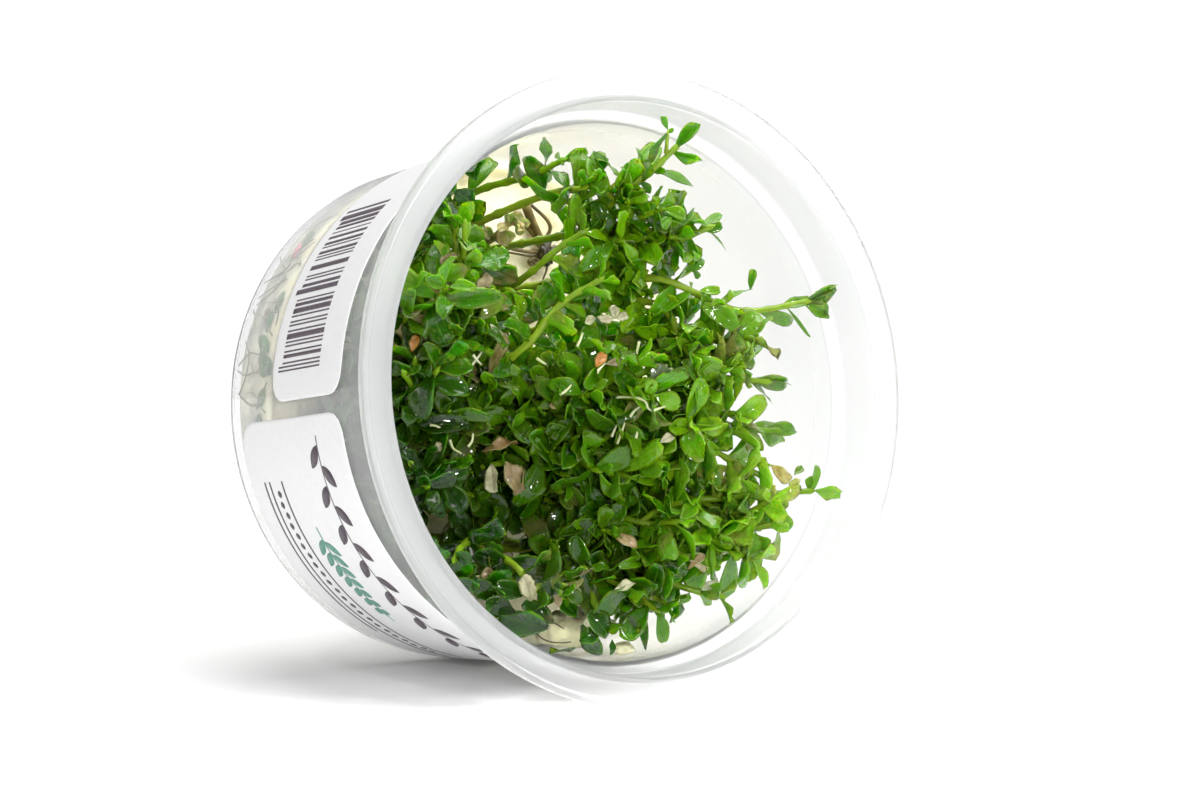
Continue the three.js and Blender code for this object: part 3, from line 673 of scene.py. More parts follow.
def gel_top(x, y):
    """Depth of the jelly's surface: two slow waves across the cup."""
    swell = 1.1 * np.sin(0.11 * x + 1.3) * np.cos(0.1 * y)
    return GEL_TOP + swell + 0.5 * np.sin(0.17 * x - 0.13 * y)


def gel_pad_places(segments, rings):
    """Rings from the middle of the top to the wall, down the wall, and back to the middle of the bottom."""
    bottom = CUP_DEPTH - WALL - 0.75
    top_radius = room_radius(np.float64(GEL_TOP)) - 0.02
    turn = np.linspace(0, 2 * math.pi, segments, endpoint=False)[None]
    shares = np.linspace(0.02, 1.0, rings)[:, None] ** 0.9
    x, y = top_radius * shares * np.cos(turn), top_radius * shares * np.sin(turn)
    ripple = 0.22 * np.sin(0.9 * x + 0.5 * np.sin(0.8 * y)) * np.cos(0.75 * y + 0.3 * x)
    meniscus = 1.6 * np.clip((shares - 0.93) / 0.07, 0, 1) ** 2
    top = np.stack([x, y, gel_top(x, y) + ripple - meniscus], axis=-1)
    side_depth = np.array([51.5, 54.5, 57.5, 59.0])[:, None] + 0 * turn
    side_radius = room_radius(side_depth) - 0.02
    side = np.stack([side_radius * np.cos(turn), side_radius * np.sin(turn), side_depth], axis=-1)
    low_radius = np.array([39.2, 30.0, 15.0, 1.0])[:, None]
    low_depth = np.array([bottom - 0.5, bottom, bottom, bottom])[:, None] + 0 * turn
    low = np.stack([low_radius * np.cos(turn), low_radius * np.sin(turn), low_depth], axis=-1)
    return np.concatenate([top, side, low])


def lump_places(at, size, seed, rows, columns):
    """A ball by latitude and longitude, its radius roughened by waves, squeezed to size, kept in the cup."""
    lat = np.linspace(0.06, math.pi - 0.06, rows)[:, None]
    lon = np.linspace(0, 2 * math.pi, columns, endpoint=False)[None]
    way = np.stack([np.sin(lat) * np.cos(lon), np.sin(lat) * np.sin(lon), np.cos(lat) + 0 * lon], axis=-1)
    phase = 7.0 * chance(seed, np.arange(6), 9)
    x, y, z = way[..., 0], way[..., 1], way[..., 2]
    rough = 0.9 + 0.16 * np.sin(3 * x + phase[0]) * np.sin(4 * y + phase[1])
    rough = rough + 0.06 * np.sin(9 * x + phase[2]) * np.sin(8 * z + phase[3])
    rough = rough + 0.03 * np.sin(19 * y + phase[4]) * np.sin(17 * z + phase[5])
    power = np.sign(way) * np.abs(way) ** 0.85
    return keep_inside(np.array(at) + np.array(size) * power * rough[..., None], 0.02)


# %% [markdown]
# ### Jelly material
# A soft cream with scattering under the skin, a wet gloss, and slow clouds where roots have stained
# it. Where it lies against the wall, below its top, grey patches of painted shade are mixed in by a
# value on the mesh.

# %% Jelly
def jelly_material(name, stained, cream, pale, wall_shade_tone, let_in=0.35):
    """Clouds of three creams; a value on the mesh mixes in grey patches of painted shade by the wall."""
    material, tree, shader = new_material(name)
    stain = noise_node(tree, 120, 4, 0.6)
    clouds = ramp_node(tree, stain.outputs["Fac"], [(0.26, stained), (0.42, cream), (0.72, pale)])
    patches = noise_node(tree, 210, 3)
    grey = ramp_node(tree, patches.outputs["Fac"],
                     [(0.36, wall_shade_tone), (0.76, tuple(0.8 * share for share in pale))])
    colour = mix_node(tree, value_of(tree, "wall_shade"), clouds.outputs["Color"], grey.outputs["Color"])
    tree.links.new(colour, shader.inputs["Base Color"])
    set_sockets(shader, Roughness=0.22, Subsurface_Weight=let_in, Subsurface_Radius=(1.0, 0.8, 0.45),
                Subsurface_Scale=0.003)
    cracks = noise_node(tree, 300, 4, 0.65)
    bump_node(tree, shader, cracks.outputs["Fac"], 0.6, 0.0010)
    return material


pad_jelly = jelly_material("nutrient_jelly", (0.46, 0.37, 0.17), (0.80, 0.74, 0.46), (0.88, 0.85, 0.62),
                           (0.17, 0.18, 0.14))
# Painted light: the lumps get a brighter, yellower copy of the jelly, to light them where they lie in the
# leaves' shade.
lit_crumb_jelly = jelly_material("jelly_crumb_lit", (0.93, 0.86, 0.46), (0.98, 0.94, 0.54), (0.98, 0.96, 0.62),
                             (0.8, 0.75, 0.6), 0.1)

gel_places, gel_faces = closed_grid(gel_pad_places(120, 34))
# Painted shade: the jelly's side, where it lies against the wall below its top, is mixed towards grey.
edge_reach = np.hypot(gel_places[:, 0], gel_places[:, 1]) / room_radius(gel_places[:, 2])
wall_shade = np.clip((edge_reach - 0.93) / 0.05, 0, 1) * np.clip((gel_places[:, 2] - 48.5) / 4.0, 0, 1)
make_piece("jelly_pad", to_frame(gel_places), gel_faces, [pad_jelly], ["gel_pad"],
           values={"wall_shade": wall_shade})
lump_skins = {}
for name, at, size, seed in (
    ("lump_lower", (-5.0, -37.2, 21.0), (5.4, 3.6, 4.4), 1),
    ("lump_front", (1.9, -40.9, 15.2), (2.0, 1.1, 2.2), 2),
):
    lump_skins[name], faces = closed_grid(lump_places(at, size, seed, 26, 40))
    make_piece("jelly_" + name, to_frame(lump_skins[name]), faces, [lit_crumb_jelly],
               ["gel_" + name])
print("jelly ready")

# %% [markdown]
# ## The stems' routes
# Each shoot of the CAD model grows along a smooth curve from its foot on the jelly through three
# stations to its tip. The same named stations give the same curve here, so the dressed leaves sit on
# the solid ones. The curve is a spline of the centripetal kind, which makes no loops: the parameter
# grows with the square root of the distance between two stations.

# %% Stations
OUTER_SHOOTS = [
    # name, foot (x, y), then bend, reach and tip (x, y, depth), pairs of leaves, side sprigs
    ("top_right", (-14, 26), (-2, 33, 18), (6, 33, 9), (13, 39, 4.5), 7, 2),
    ("top_left", (-12, 31), (-9, 35, 30), (-5, 36, 22), (-2, 38, 15), 5, 2),
    ("top_centre", (-3, 26), (-1, 26, 20), (5, 27, 12), (13, 28, 7), 6, 4),
    ("upper_right", (2, 19), (9, 21, 14), (15, 24, 9), (20, 26, 6.5), 5, 3),
    ("long_right", (4, 13), (10, 18, 11), (23, 12, 6), (36, 13, 3.5), 9, 2),
    ("bright", (-17, -1), (-14, 8, 12), (-9, 14, 9), (-2, 18, 6.5), 5, 2),
    ("right_short", (6, 8), (8, 9, 15), (16, 8, 9), (24, 6, 6), 5, 3),
    ("right_bowed", (0, 10), (13, 14, 11), (16, 3, 7), (28, 0, 5), 7, 2),
    ("middle_right", (8, -1), (12, -3, 10), (22, -7, 6.5), (29, -8, 4.5), 6, 3),
    ("dark_stem", (2, -5), (15, -5, 9), (22, -11, 7), (26, -16, 4.5), 5, 2),
    ("low_right", (7, -13), (14, -18, 9), (25, -18, 6), (34, -18, 3.5), 7, 2),
    ("lower_drop", (13, -9), (18, -14, 9), (19, -20, 7), (19, -27, 5), 5, 3),
    ("lower_short", (14, -20), (17, -22, 14), (22, -23, 8), (27, -23, 6), 5, 3),
    ("bottom_right", (1, -23), (5, -29, 11), (10, -32, 8), (16, -34, 5), 6, 4),
    ("bottom_inner", (-4, -28), (2, -31, 13), (5, -33, 10), (7, -35, 7.5), 4, 3),
    ("bottom", (-8, -23), (-5, -27, 13), (-6, -33, 10), (-5, -37, 8), 5, 3),
    ("bottom_left", (-17, -20), (-18, -26, 14), (-16, -30, 11), (-12, -32, 9), 4, 4),
    ("left_low", (-19, -27), (-24, -22, 17), (-28, -23, 13), (-31, -25, 10), 4, 4),
    ("left_side", (-26, -10), (-29, -4, 19), (-33, 1, 14), (-37, 5, 11), 5, 4),
    ("left_edge", (-24, -17), (-29, -13, 18), (-33, -11, 14), (-37, -9, 11), 5, 4),
    ("left_upper", (-26, 5), (-28, 11, 18), (-31, 15, 14), (-35, 18, 11), 5, 4),
    ("upper_left", (-20, 14), (-22, 19, 19), (-23, 23, 14), (-24, 28, 11), 5, 4),
    ("heart", (-11, 2), (-8, -1, 13), (-1, 1, 8.5), (5, 3, 6), 5, 5),
    ("heart_low", (-9, -10), (-5, -9, 13), (0, -10, 8.5), (7, -11, 6), 5, 5),
    ("heart_high", (-7, 14), (-9, 20, 17), (-7, 23, 12), (-3, 26, 8.5), 5, 4),
    ("front_low", (-3, -16), (1, -20, 12), (6, -22, 8), (12, -24, 6), 5, 4),
]
SPIRAL_COUNT, SPIRAL_TURN, SPIRAL_RADIUS, SPIRAL_CLEARANCE, OPEN_SIDE = 38, 2.39996, 36.0, 6.4, 15


def inner_shoots():
    """The shoots in the thick of the bush, spread on a sunflower spiral as in the CAD model."""
    tips = np.array([row[4][:2] for row in OUTER_SHOOTS], dtype=float)
    found = []
    for k in range(SPIRAL_COUNT):
        radius = SPIRAL_RADIUS * math.sqrt((k + 0.5) / SPIRAL_COUNT)
        x, y = radius * math.cos(k * SPIRAL_TURN), radius * math.sin(k * SPIRAL_TURN)
        near = np.hypot(tips[:, 0] - x, tips[:, 1] - y).min() < SPIRAL_CLEARANCE
        if near or 0.74 * x + 0.67 * y > OPEN_SIDE:
            continue
        depth = 12 + 7 * float(chance(k, 1, 0))
        lean_x, lean_y = 5 * float(chance(k, 2, 0)) - 1.5, 6 * float(chance(k, 3, 0)) - 3
        found.append((f"inner_{len(found) + 1:02d}",
                      (0.86 * x - lean_x, 0.86 * y - lean_y),
                      (0.92 * x - 0.8 * lean_x, 0.92 * y - 0.8 * lean_y, depth + 18),
                      (x - 0.3 * lean_x, y - 0.3 * lean_y, depth + 7),
                      (x + 0.5 * lean_x, y + 0.5 * lean_y, depth), 3, 4))
    return found


SHOOTS = OUTER_SHOOTS + inner_shoots()
print("shoots:", len(SHOOTS))


# %% Curves
def spline(stations, per_span):
    """Centripetal spline: each span is a cubic whose end slopes come from its neighbours' distances."""
    first = 2 * stations[0] - stations[1]
    last = 2 * stations[-1] - stations[-2]
    all_stations = np.concatenate([[first], stations, [last]])
    gaps = np.linalg.norm(np.diff(all_stations, axis=0), axis=1) ** 0.5
    spans = []
    for k in range(len(stations) - 1):
        a, b, c, d = all_stations[k:k + 4]
        ga, gb, gc = gaps[k:k + 3]
        leave = ((b - a) / ga - (c - a) / (ga + gb) + (c - b) / gb) * gb
        arrive = ((c - b) / gb - (d - b) / (gb + gc) + (d - c) / gc) * gb
        t = (np.arange(per_span) / per_span)[:, None]
        spans.append(b + leave * t + (3 * (c - b) - 2 * leave - arrive) * t**2
                     + (2 * (b - c) + leave + arrive) * t**3)
    return np.concatenate(spans + [stations[-1:]])


def spine_of(shoot, shift):
    """The stem's middle line in cup coordinates, its lower stations moved aside by shift."""
    _, foot, bend, reach, tip = shoot[:5]
    foot = np.array([foot[0] + 0.6 * shift[0], foot[1] + 0.6 * shift[1]], dtype=float)
    base = np.array([foot[0], foot[1], gel_top(foot[0], foot[1]) - 0.9])
    bend = np.array(bend, dtype=float) + [shift[0], shift[1], 0]
    reach = np.array(reach, dtype=float) + [0.5 * shift[0], 0.5 * shift[1], 0]
    return keep_inside(spline(np.stack([base, bend, reach, np.array(tip, dtype=float)]), 16), 1.2)


CLEAR_TRIES, ASIDE_STEP, STEMS_APART = 24, 0.55, 2.3


def clear_spines(shoots):
    """A shoot that would cross an earlier stem bends aside, a little further with each try."""
    chosen = []
    for shoot in shoots:
        best, best_apart = None, -1.0
        earlier = np.concatenate(chosen) if chosen else np.full((1, 3), 1e6)
        for attempt in range(CLEAR_TRIES):
            turn = attempt * SPIRAL_TURN
            spine = spine_of(shoot, ASIDE_STEP * attempt * np.array([math.cos(turn), math.sin(turn)]))
            apart = np.linalg.norm(spine[:, None] - earlier[None], axis=-1).min()
            if apart > best_apart:
                best, best_apart = spine, apart
            if apart > STEMS_APART:
                break
        chosen.append(best)
    return chosen


spines = clear_spines(SHOOTS)
print("longest stem:", round(max(np.linalg.norm(np.diff(s, axis=0), axis=1).sum() for s in spines), 1), "mm")

# %% [markdown]
# ## Leaves
# Rotala leaves stand in opposite pairs, each pair a quarter turn from the last. A leaf is egg-shaped
# with its broad end outwards, slightly folded along its rib, and it arches back as it ages. Here one
# leaf is a ring of eight points carried along its rib: half width, fold, arch and ripple are all
# functions of the share along and the share across, worked out for every leaf of a shoot at once.

# %% Leaf surfaces
RING = 8
RING_TURN = np.array([4, 3, 2, 1, 0, 7, 6, 5]) * (2 * math.pi / RING)
ACROSS, THROUGH = np.cos(RING_TURN), np.sin(RING_TURN)
SHARES = np.array([0.0, 0.1, 0.24, 0.4, 0.56, 0.72, 0.86, 0.96])


def leaf_outline(u):
    """Half width along the leaf: a sine rise to the widest place at 0.6, then a quarter of an ellipse."""
    rise = 0.16 + 0.84 * np.sin(0.5 * math.pi * np.minimum(u / 0.6, 1)) ** 1.25
    fall = np.sqrt(np.maximum(1 - (np.maximum(u - 0.6, 0) / 0.4) ** 1.8, 0))
    return rise * fall


def leaf_places(at, along, face, length, half_width, curl, fold, wave, phase, twist):
    """Rings of every leaf: rib curve, plus the outline across it, plus fold, ripple and a twist."""
    right = np.cross(face, along)
    u = SHARES[None, :, None]
    s = ACROSS[None, None, :]
    length, half_width, curl, fold, wave, phase, twist = (
        v[:, None, None] for v in (length, half_width, curl, fold, wave, phase, twist))
    half = half_width * leaf_outline(u)
    rise = fold * half * np.abs(s) - 0.35 * fold * half * s**2
    rise = rise + wave * half_width * u * np.abs(s) * np.sin(9.0 * u + 2.2 * np.sign(s) + phase)
    rise = rise + 0.10 * THROUGH[None, None, :] * (1 - 0.6 * u)
    turn = twist * u
    aside = half * s * np.cos(turn) - rise * np.sin(turn) + 0.06 * length * np.sin(2.5 * u + phase) * u
    lift = -curl * length * u**2 + half * s * np.sin(turn) + rise * np.cos(turn)
    forward = length * (u - 0.35 * curl**2 * u**3) - 0.10 * length * s**2 * u * (1 - u)
    return (at[:, None, None] + along[:, None, None] * forward[..., None]
            + right[:, None, None] * aside[..., None] + face[:, None, None] * lift[..., None])


def ring_stack_faces(count, rows):
    """Faces of many equal tubes of rings, each closed at both ends by faces across the ring of eight."""
    back = np.array([[0, 7, 1, -1], [1, 7, 6, 2], [2, 6, 5, 3], [3, 5, 4, -1]])
    front = np.array([[0, 1, 7, -1], [1, 2, 6, 7], [2, 3, 5, 6], [3, 4, 5, -1]])
    front = np.where(front < 0, -1, front + (rows - 1) * RING)
    return copies_of(np.concatenate([grid_faces(rows, RING, True), back, front]), count, rows * RING)


def turned_about(vector, axis, angle):
    """Vectors turned about unit axes: the part along the axis stays, the rest swings by sine and cosine."""
    c, s = np.cos(angle)[:, None], np.sin(angle)[:, None]
    dot = (vector * axis).sum(axis=1, keepdims=True)
    return vector * c + np.cross(axis, vector) * s + axis * dot * (1 - c)


def unit(vectors):
    """Vectors made one long."""
    return vectors / np.maximum(np.linalg.norm(vectors, axis=-1, keepdims=True), 1e-9)


# %% [markdown]
# ### Pairs on a stem
# The frame that leaves turn in is carried along the stem without twisting. The first table of pairs
# is the one that the CAD model has; more pairs go on down the stem, where the leaves are older, and
# short side sprigs grow out of the leaf joints.

# %% Pairs
FIRST_PAIR, PAIR_SPACING, SPACING_GROWTH, OLDER_PAIRS = 1.2, 3.3, 0.035, 5
LEAF_LENGTH, LEAF_WIDTH = 6.8, 3.8


def run_of(spine):
    """Length run up to each sample of a spine."""
    return np.concatenate([[0.0], np.cumsum(np.linalg.norm(np.diff(spine, axis=0), axis=1))])


def point_on(spine, run, along):
    """Places on a spine at given lengths, between its samples."""
    return np.stack([np.interp(along, run, spine[:, k]) for k in range(3)], axis=-1)


def pairs_on(spine, ages, alongs, roll):
    """Frames at given lengths: the way the stem runs, and a side and an up carried from foot to tip."""
    run = run_of(spine)
    at = point_on(spine, run, alongs)
    tangent = unit(point_on(spine, run, alongs + 0.6) - point_on(spine, run, alongs - 0.6))
    side = np.array([math.cos(roll), math.sin(roll), 0.0])
    sides = []
    for way in tangent:
        side = unit(side - way * (side @ way))
        sides.append(side)
    sides = np.array(sides)
    return {"at": at, "tangent": tangent, "side": sides, "up": np.cross(sides, tangent), "age": ages}


def pair_alongs(length, k):
    """How far along a stem its pairs sit, number 0 near the tip, each step down a little longer."""
    return length - FIRST_PAIR - PAIR_SPACING * k * (1 + SPACING_GROWTH * k)


def stem_pairs(spine, pairs, seed):
    """The CAD model's pairs, foot to tip, and the older pairs below them."""
    length = run_of(spine)[-1]
    roll = 2 * math.pi * float(chance(seed, 4, 0))
    result = []
    older = np.arange(pairs, pairs + OLDER_PAIRS)
    for k, lowest, turn in ((np.arange(pairs), 3, roll), (older, 4, roll + 0.7)):
        along = pair_alongs(length, k)
        k, along = k[along > lowest][::-1], along[along > lowest][::-1]
        result.append(pairs_on(spine, k.astype(float), along, turn) if len(k) else None)
    return result


def leaves_on(pairs, seed, scale, freedom=0.0):
    """Two leaves at each pair, each with a wander by its own chance; freedom adds more in side sprigs."""
    count = len(pairs["age"])
    index = np.arange(count)
    at = np.repeat(pairs["at"], 2, axis=0)
    tangent = np.repeat(pairs["tangent"], 2, axis=0)
    age = np.repeat(pairs["age"], 2)
    direction = np.tile([0, 1], count)
    odd = np.repeat(index % 2, 2)[:, None]
    quarter = np.where(odd == 0, np.repeat(pairs["side"], 2, axis=0), np.repeat(pairs["up"], 2, axis=0))
    outward = quarter * np.where(direction == 0, 1.0, -1.0)[:, None]
    draw = lambda n: chance(seed, age * 2 + direction, n)
    wander = lambda n, spread: spread * (draw(n) - 0.5)
    openness = np.radians(np.minimum(44 + 13 * age, 72) + wander(11, 24) + freedom * wander(21, 70))
    youth = np.minimum(1, 0.6 + 0.25 * age)
    length = LEAF_LENGTH * youth * scale * (1 + wander(12, 0.3)) * (1 + freedom * wander(22, 0.5))
    half_width = 0.5 * LEAF_WIDTH * youth * math.sqrt(scale)
    half_width = half_width * (1 + wander(13, 0.3)) * (1 + freedom * wander(23, 0.4))
    along = unit(outward * np.sin(openness)[:, None] + tangent * np.cos(openness)[:, None])
    across = unit(np.cross(outward, tangent))
    face = turned_about(np.cross(across, along), along, -wander(14, 0.9) - freedom * wander(24, 2.2))
    curl = 0.16 + wander(15, 0.3) + freedom * wander(25, 0.5)
    return {"at": at + 0.3 * outward, "along": along, "face": unit(face), "length": length,
            "half_width": half_width, "curl": curl, "fold": 0.15 + 1.2 * draw(16),
            "wave": 0.12 + 0.5 * draw(17), "phase": 6.28 * draw(18), "twist": wander(20, 1.5),
            "age": age, "tint": draw(19)}


print("pairs ready")


# %% [markdown]
# ### Side sprigs and stems
# A sprig leaves the stem between a leaf and the stem, at about forty-five degrees, and bends towards
# the light at the mouth. It carries two or three small pairs. Stems are tubes of eight sides with a
# slight swelling at each joint, pale green and a little see-through.

# %% Sprigs and tubes
def sprigs_of(spine, count, rng):
    """Short spines that leave the stem at random joints, outwards and then towards the mouth."""
    run = run_of(spine)
    length = run[-1]
    result = []
    for k in range(count):
        along = length - rng.uniform(5.0, min(24.0, length - 4.0))
        at = point_on(spine, run, np.array([along]))[0]
        way = unit(point_on(spine, run, np.array([along + 0.6]))[0] - at)
        turn = 2 * math.pi * (k / count + rng.uniform(-0.1, 0.1))
        side = unit(np.cross(way, [0.3, 0.2, 1.0]))
        out = side * math.cos(turn) + np.cross(way, side) * math.sin(turn)
        reach = rng.uniform(5.0, 9.0)
        light = np.array([0.0, 0.1, -1.0])
        middle = at + 0.5 * reach * unit(out + 0.9 * way)
        end = middle + 0.55 * reach * unit(0.5 * out + 0.8 * way + 0.6 * light)
        result.append(keep_inside(spline(np.stack([at, middle, end]), 6), 1.2))
    return result


def tube_places(spine, radii, sides):
    """Rings round a spine: each is its point plus a radius along two axes square to the way it runs."""
    way = unit(np.gradient(spine, axis=0))
    helper = [1.0, 0.0, 0.0] if abs(way[0, 0]) < 0.8 else [0.0, 1.0, 0.0]
    side = unit(np.cross(way, helper))
    up = np.cross(way, side)
    turn = np.linspace(0, 2 * math.pi, sides, endpoint=False)
    ring = side[:, None] * np.cos(turn)[None, :, None] + up[:, None] * np.sin(turn)[None, :, None]
    return spine[:, None] + radii[:, None, None] * ring


def stem_places(spine, joints, thick, thin):
    """A tapering tube with a soft swelling at each joint and a rounded tip."""
    run = run_of(spine)
    length = run[-1]
    count = max(6, int(length / 0.9))
    s = np.linspace(0, length, count)
    radii = np.interp(s, [0, length], [thick, thin])
    swell = np.exp(-((s[:, None] - joints[None]) / 0.55) ** 2).max(axis=1) if len(joints) else 0
    radii = radii * (1 + 0.3 * swell) * np.sqrt(np.clip((length - s) / 0.9 + 0.05, 0, 1))
    return tube_places(point_on(spine, run, s), radii, RING)


# %% [markdown]
# ### Leaf and stem finish
# A leaf's colour changes from yellow green at the young tips to a deep fresh green, with a pale rib
# and faint side veins; a few old leaves have lost their green and are tan and thin. The gloss is a
# clear coat over a soft green body, and a little light passes through the blade.

# %% Foliage materials
def rib_sockets(tree, sharpness):
    """From the UV map: the distance from the rib, the rib as 1 that falls to 0, and the way along."""
    uv = tree.nodes.new("ShaderNodeUVMap")
    split = tree.nodes.new("ShaderNodeSeparateXYZ")
    tree.links.new(uv.outputs["UV"], split.inputs["Vector"])
    off = math_node(tree, "ABSOLUTE", math_node(tree, "SUBTRACT", split.outputs["X"], 0.5))
    rib = math_node(tree, "SUBTRACT", 1.0, math_node(tree, "MULTIPLY", off, sharpness), True)
    return off, rib, split.outputs["Y"]


def overlaid(tree, colour, share, amount, tone):
    """A colour with a tone laid over it, by a share socket times a fixed amount."""
    return mix_node(tree, math_node(tree, "MULTIPLY", share, amount), colour, tone)


def foliage_material(name, stem):
    """Greens mixed by each leaf's own age and tint, with rib and veins from its UV map."""
    material, tree, shader = new_material(name)
    if stem:
        greens = [(0.0, (0.12, 0.22, 0.006)), (0.5, (0.22, 0.33, 0.012)), (1.0, (0.32, 0.40, 0.03))]
    else:
        greens = [(0.0, (0.005, 0.038, 0.0002)), (0.45, (0.017, 0.098, 0.0004)),
                  (0.8, (0.045, 0.175, 0.0006)), (1.0, (0.125, 0.310, 0.002))]
    body = ramp_node(tree, value_of(tree, "tint"), greens)
    fresh = mix_node(tree, value_of(tree, "youth"), body.outputs["Color"], (0.14, 0.33, 0.002))
    cloud = noise_node(tree, 350, 3)
    shade = ramp_node(tree, cloud.outputs["Fac"], [(0.25, (0.7, 0.7, 0.7)), (0.75, (1.15, 1.15, 1.1))])
    colour = mix_node(tree, 1.0, fresh, shade.outputs["Color"], "MULTIPLY")
    if not stem:
        off, rib, way_along = rib_sockets(tree, 16.0)
        slant = math_node(tree, "SUBTRACT", way_along, off)
        veins = math_node(tree, "SINE", math_node(tree, "MULTIPLY", slant, 44.0))
        veins = math_node(tree, "MULTIPLY", math_node(tree, "ADD", veins, 1.0), 0.5)
        # Painted highlight: the blade turns a lighter green towards its edge, for the bright rims that gloss
        # gives it.
        edge = math_node(tree, "POWER", math_node(tree, "MULTIPLY", off, 2.0), 3.0)
        colour = overlaid(tree, colour, rib, 0.22, (0.16, 0.38, 0.02))
        colour = overlaid(tree, colour, veins, 0.07, (0.12, 0.32, 0.01))
        colour = overlaid(tree, colour, edge, 0.3, (0.15, 0.29, 0.004))
        colour = overlaid(tree, colour, value_of(tree, "under"), 0.45, (0.10, 0.22, 0.008))
        blotch = noise_node(tree, 210, 3)
        spots = ramp_node(tree, blotch.outputs["Fac"], [(0.46, (0.0,) * 3), (0.60, (1.0,) * 3)])
        spotted = math_node(tree, "MULTIPLY", spots.outputs["Color"], value_of(tree, "worn"))
        colour = mix_node(tree, spotted, colour, (0.17, 0.12, 0.045))
        blister = noise_node(tree, 1300, 2)
        height = math_node(tree, "ADD", math_node(tree, "MULTIPLY", rib, -0.6),
                           math_node(tree, "MULTIPLY", blister.outputs["Fac"], 1.8))
        bump_node(tree, shader, height, 0.6, 0.00030)
    tan = ramp_node(tree, cloud.outputs["Fac"],
                    [(0.3, (0.20, 0.13, 0.035)), (0.65, (0.52, 0.42, 0.21))])
    colour = mix_node(tree, value_of(tree, "faded"), colour, tan.outputs["Color"])
    # Painted light and shade: each leaf's colour is scaled by a per-leaf brightness gain from a map across
    # the mouth.
    if not stem:
        colour = mix_node(tree, 1.0, colour, value_of(tree, "painted_light_gain"), "MULTIPLY")
    tree.links.new(colour, shader.inputs["Base Color"])
    if stem:
        set_sockets(shader, Roughness=0.26, Coat_Weight=0.1, Specular_IOR_Level=0.25, Subsurface_Weight=0.35)
    else:
        set_sockets(shader, Roughness=0.20, Coat_Weight=0.8, Specular_IOR_Level=0.05, Subsurface_Weight=0.4)
    set_sockets(shader, Coat_Roughness=0.08, Subsurface_Radius=(0.3, 1.0, 0.02), Subsurface_Scale=0.0012)
    return material


leaf_green = foliage_material("rotala_leaf", False)
stem_green = foliage_material("rotala_stem", True)
